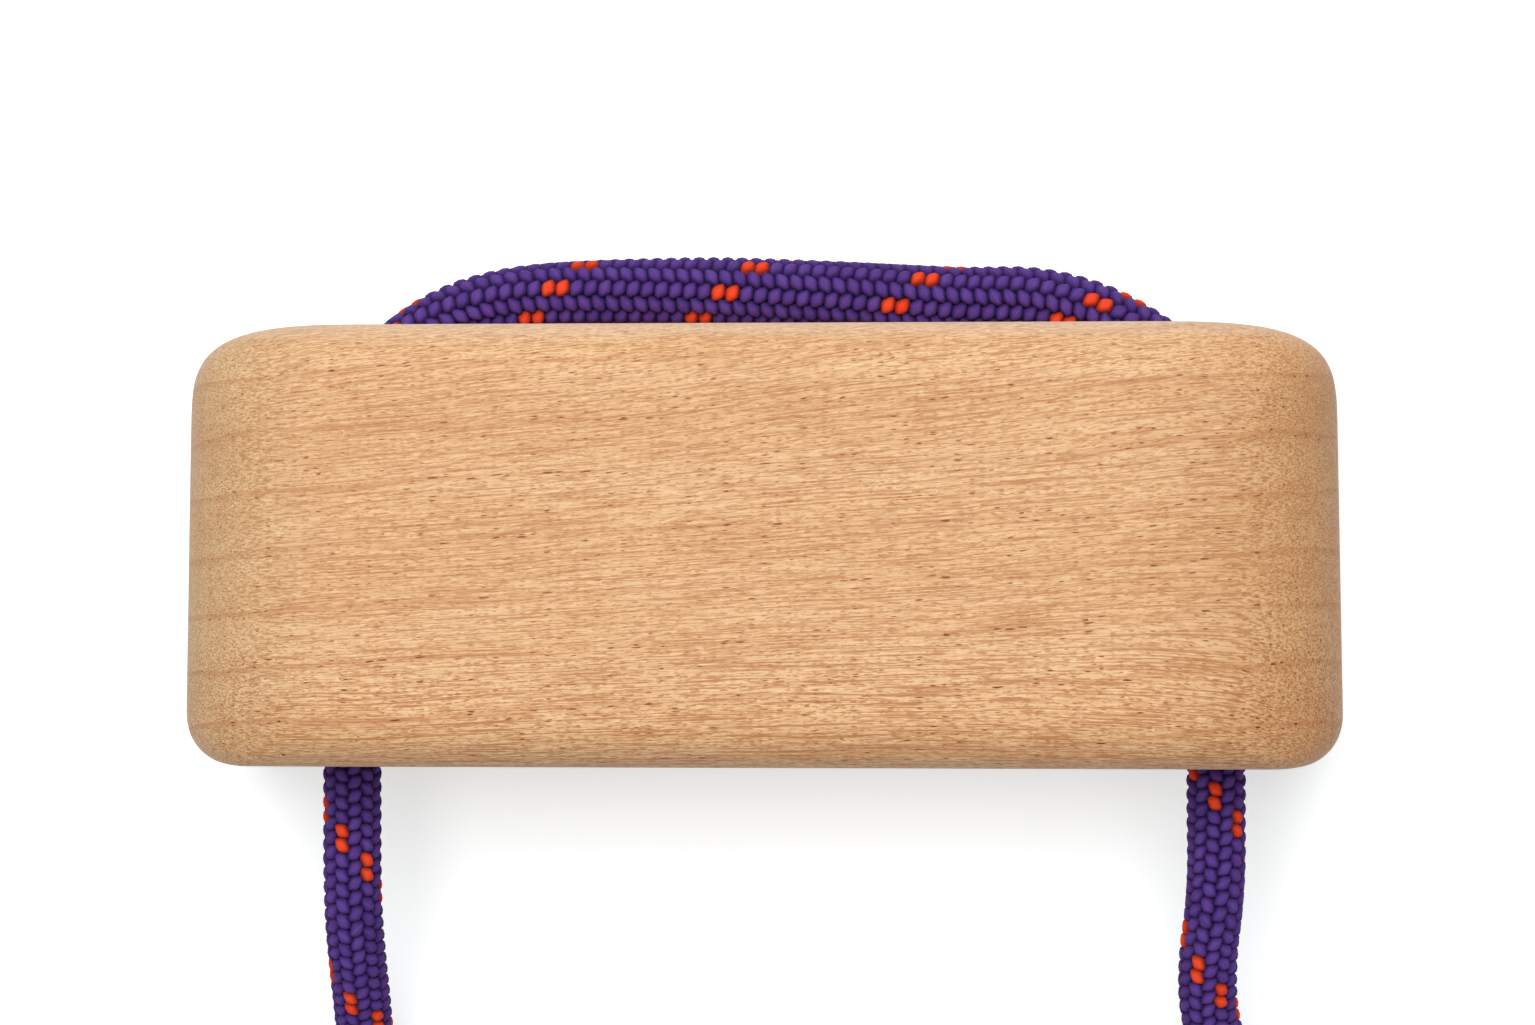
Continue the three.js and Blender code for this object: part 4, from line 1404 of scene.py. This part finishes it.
@dataclass
class BraidedCord:
    """The whole cord: its sheath, its core, its knot and its melted ends."""

    route: CordRoute
    pattern: BraidPattern = field(default_factory=BraidPattern)
    finish: BraidedPolyamide = field(default_factory=BraidedPolyamide)
    spacing: float = 0.8
    bridge_girth: float = 1.18
    girth_marks: tuple[float, float] = (38, 60)
    bridge_sink: float = 0.2
    sink_marks: tuple[float, float] = (50, 75)
    twist: tuple[float, ...] = (105, 58, 100, 130, 152, 170, 238, 282)
    twist_marks: Triple = (3, 36, 62)
    twist_end: float = 40
    path_margin: float = 0.5
    tip_profile: tuple[tuple[float, float], ...] = (
        (1.01, -4.5), (1.05, -4.05), (1.03, -2.4), (0.98, -1.1), (0.86, -0.35), (0.62, 0.12),
        (0.3, 0.3), (0.05, 0.34))
    tip_sides: int = 28
    tip_aim_points: int = 3
    tip_swells: tuple[tuple[int, float], ...] = ((3, 0.02), (5, 0.015))

    def build(self) -> dict[Stretch, Piece]:
        """Returns:
            The pieces by stretch.
        """
        line, ranges = self._centreline()
        girths = self._over_bridge(line, ranges, self.girth_marks, 1, self.bridge_girth)
        laid = LaidCord(line, self._sides(line, ranges), girths, ranges)
        materials = {"Yarn": self.finish.material(), "Core": self.finish.core_material()}
        tree = BraidTree()
        templates = {(detail, turn): float_template(self.pattern, detail, turn)
                     for detail in FloatDetail for turn in (1, -1)}
        made = {stretch: self._plait(tree, stretch, laid, templates, materials)
                for stretch in ranges}
        drop(*templates.values())
        self._declare(made, laid, self._tips(laid))
        return made

    def _centreline(self) -> tuple[Points, dict[Stretch, tuple[float, float]]]:
        """Join the stretches into one even line.

        Returns:
            The line's points, and where along it each stretch begins and ends.
        """
        parts = {name: catmull_rom(points) for name, points in self.route.stretches().items()}
        line = np.vstack(list(parts.values()))
        keep = np.concatenate([[True], np.linalg.norm(np.diff(line, axis=0), axis=1) > TINY])
        line = line[keep]
        names, ranges, reached = list(parts), {}, 0.0
        for name, following in zip(names, names[1:]):
            seam = np.linalg.norm(parts[following][0] - parts[name][-1])
            start, reached = reached, reached + lengths_along(parts[name])[-1] + seam
            ranges[name] = (start, reached)
        ranges[names[-1]] = (reached, lengths_along(line)[-1])
        even = resample(line, self.spacing)
        even[:, 1] -= self._over_bridge(even, ranges, self.sink_marks, 0, self.bridge_sink)
        return even, ranges

    @staticmethod
    def _over_bridge(line: Points, ranges: dict[Stretch, tuple[float, float]],
                     marks: tuple[float, float], beside: float, above: float) -> Points:
        """Spread a value over the bridge, with its change inside both ends of that stretch.

        Args:
            line: The line's points.
            ranges: Where each stretch begins and ends.
            marks: How far inside each end the change begins and ends.
            beside: The value outside the bridge.
            above: The value on it.

        Returns:
            The value at each point.
        """
        (start, end), (near, far) = ranges[Stretch.THROUGH], marks
        return np.interp(lengths_along(line), [start + near, start + far, end - far, end - near],
                         [beside, above, above, beside])

    def _sides(self, line: Points, ranges: dict[Stretch, tuple[float, float]]) -> Points:
        """Carry a sideways direction along the line without twist, both ways from the bridge.

        Args:
            line: The line's points.
            ranges: Where each stretch begins and ends.

        Returns:
            A unit direction for each point, turned where the braid is.
        """
        ways = unit(np.gradient(line, axis=0))
        along = lengths_along(line)
        middle = int(np.searchsorted(along, sum(ranges[Stretch.THROUGH]) / 2))
        sides = np.zeros_like(line)
        sides[middle] = (0, 0, 1)
        for order in (range(middle + 1, len(line)), range(middle - 1, -1, -1)):
            side = sides[middle]
            for k in order:
                side = unit(side - ways[k] * side.dot(ways[k]))
                sides[k] = side
        start, end = ranges[Stretch.THROUGH]
        inside = np.array(self.twist_marks)
        marks = [*(start + inside), (start + end) / 2, *(end - inside[::-1]), end + self.twist_end]
        turns = np.radians(np.interp(along, marks, self.twist))
        return spokes(turns, sides, np.cross(ways, sides))

    def _plait(self, tree: BraidTree, stretch: Stretch, laid: LaidCord,
               templates: dict[tuple[FloatDetail, int], Piece],
               materials: dict[str, Material]) -> Piece:
        """Plait one stretch of the cord.

        Args:
            tree: The braid's tree.
            stretch: Which stretch it is.
            laid: The whole laid cord.
            templates: The floats by detail and turn.
            materials: The yarn's and the core's materials.

        Returns:
            The finished piece.
        """
        edges = [(k, k + 1) for k in range(len(laid.points) - 1)]
        made = mesh_object(f"braided_{stretch.value}", laid.points * MM, [], edges)
        side = made.data.attributes.new("side", "FLOAT_VECTOR", "POINT")
        side.data.foreach_set("vector", laid.sides.astype(np.float32).ravel())
        girth = made.data.attributes.new("girth", "FLOAT", "POINT")
        girth.data.foreach_set("value", laid.girths.astype(np.float32))
        detail = {Stretch.COIL: FloatDetail.STORED, Stretch.UPPER_HALF: FloatDetail.KNOTTED,
                  Stretch.LOWER_HALF: FloatDetail.KNOTTED}.get(stretch, FloatDetail.NEAR)
        spacing = self.pattern.row_spacing
        first, last = (round(end / spacing) for end in laid.ranges[stretch])
        values = {"First Row": first, "Rows": last - first, "Wales": self.pattern.wales,
                  "Row Spacing": spacing * MM, "Row Shift": self.pattern.row_shift,
                  "First Strand": self.pattern.first_strand,
                  "Cord Radius": self.route.diameter / 2 * MM,
                  "Core Radius": self.pattern.core_radius * MM,
                  "Core Step": self.pattern.core_step * MM, "Seed": self.pattern.seed,
                  "Leaning Float": templates[detail, -1],
                  "Counter Float": templates[detail, 1], **materials}
        plait = made.modifiers.new("Plait", "NODES")
        plait.node_group = tree.tree
        for name, value in values.items():
            plait[tree.identifiers[name]] = value
        bake_modifiers(made)
        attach(made, Body.CORD.value)
        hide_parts(stretch.value)
        log.info("%s: %d faces", made.name, len(made.data.polygons))
        return made

    def _tips(self, laid: LaidCord) -> list[Piece]:
        """Close both ends of the cord with a melted tip.

        Args:
            laid: The whole laid cord.

        Returns:
            The two tips.
        """
        material = self.finish.melted_material()
        radius = self.route.diameter / 2
        around = round_angles(self.tip_sides)
        (waves, swell), (ripples, ripple) = self.tip_swells
        tips = []
        for name, end, near in (("melted_tip_upper", 0, self.tip_aim_points),
                                ("melted_tip_lower", -1, -1 - self.tip_aim_points)):
            last = laid.points[end]
            way = unit(last - laid.points[near])
            side = unit(laid.sides[end] - way * laid.sides[end].dot(way))
            outwards = spokes(around, side, np.cross(way, side))
            rings = []
            for share, along in self.tip_profile:
                swollen = (1 + swell * np.sin(waves * around + along)
                           + ripple * np.cos(ripples * around))
                reach = (radius * share * swollen)[:, None]
                rings.append(last + way * along + reach * outwards)
            made = closed_object(name, np.array(rings) * MM)
            made.data.shade_smooth()
            made.data.materials.append(material)
            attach(made, Body.CORD.value)
            log.info("%s: %d faces", made.name, len(made.data.polygons))
            tips.append(made)
        return tips

    def _declare(self, made: dict[Stretch, Piece], laid: LaidCord, tips: list[Piece]) -> None:
        """Args:
            made: The pieces by stretch.
            laid: The whole laid cord.
            tips: The two melted ends.
        """
        knot = [made[Stretch.UPPER_HALF], made[Stretch.LOWER_HALF], *tips]
        facts = {Stretch.LEFT_LEG: (FarEnd.OBJECT, Lay.LOOSE, True, []),
                 Stretch.COIL: (FarEnd.OBJECT, Lay.COILED, True, []),
                 Stretch.RUN: (FarEnd.KNOT, Lay.LOOSE, True, knot),
                 Stretch.RIGHT_LEG: (FarEnd.KNOT, Lay.LOOSE, False, [])}
        along = lengths_along(laid.points)
        for stretch, (far_end, lay, backwards, others) in facts.items():
            start, end = laid.ranges[stretch]
            inside = (along >= start - self.path_margin) & (along <= end + self.path_margin)
            path = laid.points[inside] * MM
            if backwards:
                path = path[::-1]


@dataclass(frozen=True)
class SoftLight:
    """A soft light: where it hangs, its width and height in metres, and its watts."""

    name: str
    place: Triple
    size: tuple[float, float]
    power: float


@dataclass
class Studio:
    """The pale floor, the soft lights and the camera, in metres."""

    target: Triple = (0.00127, -0.00015, 0.0316)
    eye: Triple = (0.0359, -0.00015, 0.5304)
    roll: float = -0.05
    lens: float = 101.5
    sensor: float = 36.0
    clip: tuple[float, float] = (0.01, 20.0)
    floor_side: float = 6.0
    floor_gap: float = 0.0001
    floor_glow: float = 0.54
    glow_tint: tuple[float, float, float, float] = (0.93, 0.985, 1.0, 1.0)
    floor_level: float = 0.6
    floor_seen_level: float = 0.82
    world_level: float = 0.22
    lights: tuple[SoftLight, ...] = (
        SoftLight("overhead", (-0.06, 0.35, 0.92), (0.9, 0.7), 8.7),
        SoftLight("fill", (0.05, -0.9, 0.5), (0.8, 0.5), 1.7),
        SoftLight("edge", (0.1, 1.0, 0.2), (0.9, 0.25), 0.9))

    def build(self) -> None:
        """Set up everything round the object."""
        self._floor()
        self._world()
        for light in self.lights:
            self._hang(light)
        self._camera()

    def _floor(self) -> None:
        """Lay a floor that looks nearly white and keeps the object's shadow."""
        half = self.floor_side / 2
        level = -self.floor_gap
        corners = [(x * half, y * half, level) for x, y in ((-1, -1), (1, -1), (1, 1), (-1, 1))]
        floor = mesh_object("floor", np.array(corners), [[0, 1, 2, 3]])
        material = bpy.data.materials.new("Pale Floor")
        material.use_nodes = True
        tree = material.node_tree
        tree.nodes.clear()
        wiring = Wiring(tree)
        seen = self._seen(wiring)
        more = self.floor_seen_level - self.floor_level
        grey = wiring.math("MULTIPLY_ADD", seen, more, self.floor_level)
        matt = wiring.add("ShaderNodeBsdfDiffuse", {0: grey}).outputs[0]
        level = wiring.math("MULTIPLY", seen, self.floor_glow)
        glow = wiring.add("ShaderNodeEmission", {0: self.glow_tint, 1: level}).outputs[0]
        both = wiring.add("ShaderNodeAddShader", {0: matt, 1: glow}).outputs[0]
        wiring.add("ShaderNodeOutputMaterial", {0: both})
        floor.data.materials.append(material)

    @staticmethod
    def _seen(wiring: Wiring) -> Socket:
        """Return 1 for rays by which the surroundings are seen, straight or mirrored."""
        rays = wiring.add("ShaderNodeLightPath").outputs
        mirrored = wiring.math("MAXIMUM", rays["Is Glossy Ray"], rays["Is Transmission Ray"])
        return wiring.math("MAXIMUM", rays["Is Camera Ray"], mirrored)

    def _world(self) -> None:
        """Light the object softly from all round, before a white background."""
        world = bpy.data.worlds.new("Studio")
        world.use_nodes = True
        bpy.context.scene.world = world
        wiring = Wiring(world.node_tree)
        level = wiring.math("MAXIMUM", self._seen(wiring), self.world_level)
        background = world.node_tree.nodes["Background"]
        background.inputs[0].default_value = (1.0, 1.0, 1.0, 1.0)
        world.node_tree.links.new(level, background.inputs[1])

    def _hang(self, light: SoftLight) -> None:
        """Hang a soft light so that it faces the object."""
        data = bpy.data.lights.new(light.name, "AREA")
        data.shape, data.energy = "RECTANGLE", light.power
        data.size, data.size_y = light.size
        made = bpy.data.objects.new(light.name, data)
        made.location = light.place
        aim = Vector(self.target) - Vector(light.place)
        made.rotation_euler = aim.to_track_quat("-Z", "Y").to_euler()
        bpy.context.scene.collection.objects.link(made)

    def _camera(self) -> None:
        """Put the camera where the photograph was taken from."""
        data = bpy.data.cameras.new("camera")
        data.lens, data.sensor_width, data.sensor_fit = self.lens, self.sensor, "HORIZONTAL"
        data.clip_start, data.clip_end = self.clip
        camera = bpy.data.objects.new("camera", data)
        back = (Vector(self.eye) - Vector(self.target)).normalized()
        right = Vector((0, 1, 0)).cross(back).normalized()
        turned = Matrix((right, back.cross(right), back)).transposed().to_4x4()
        turned = turned @ Matrix.Rotation(math.radians(self.roll), 4, "Z")
        camera.matrix_world = Matrix.Translation(self.eye) @ turned
        bpy.context.scene.collection.objects.link(camera)
        bpy.context.scene.camera = camera
        bpy.context.scene.view_settings.view_transform = "Standard"


def main() -> None:
    """Build the camera and the cord first, then the block."""
    logging.basicConfig(level=logging.INFO, format="%(name)s: %(message)s")
    Studio().build()
    block = WoodBlock()
    route = CordRoute(block)
    BraidedCord(route).build()
    block.build(route.bridge(), route.diameter / 2)


if __name__ == "__main__":
    main()
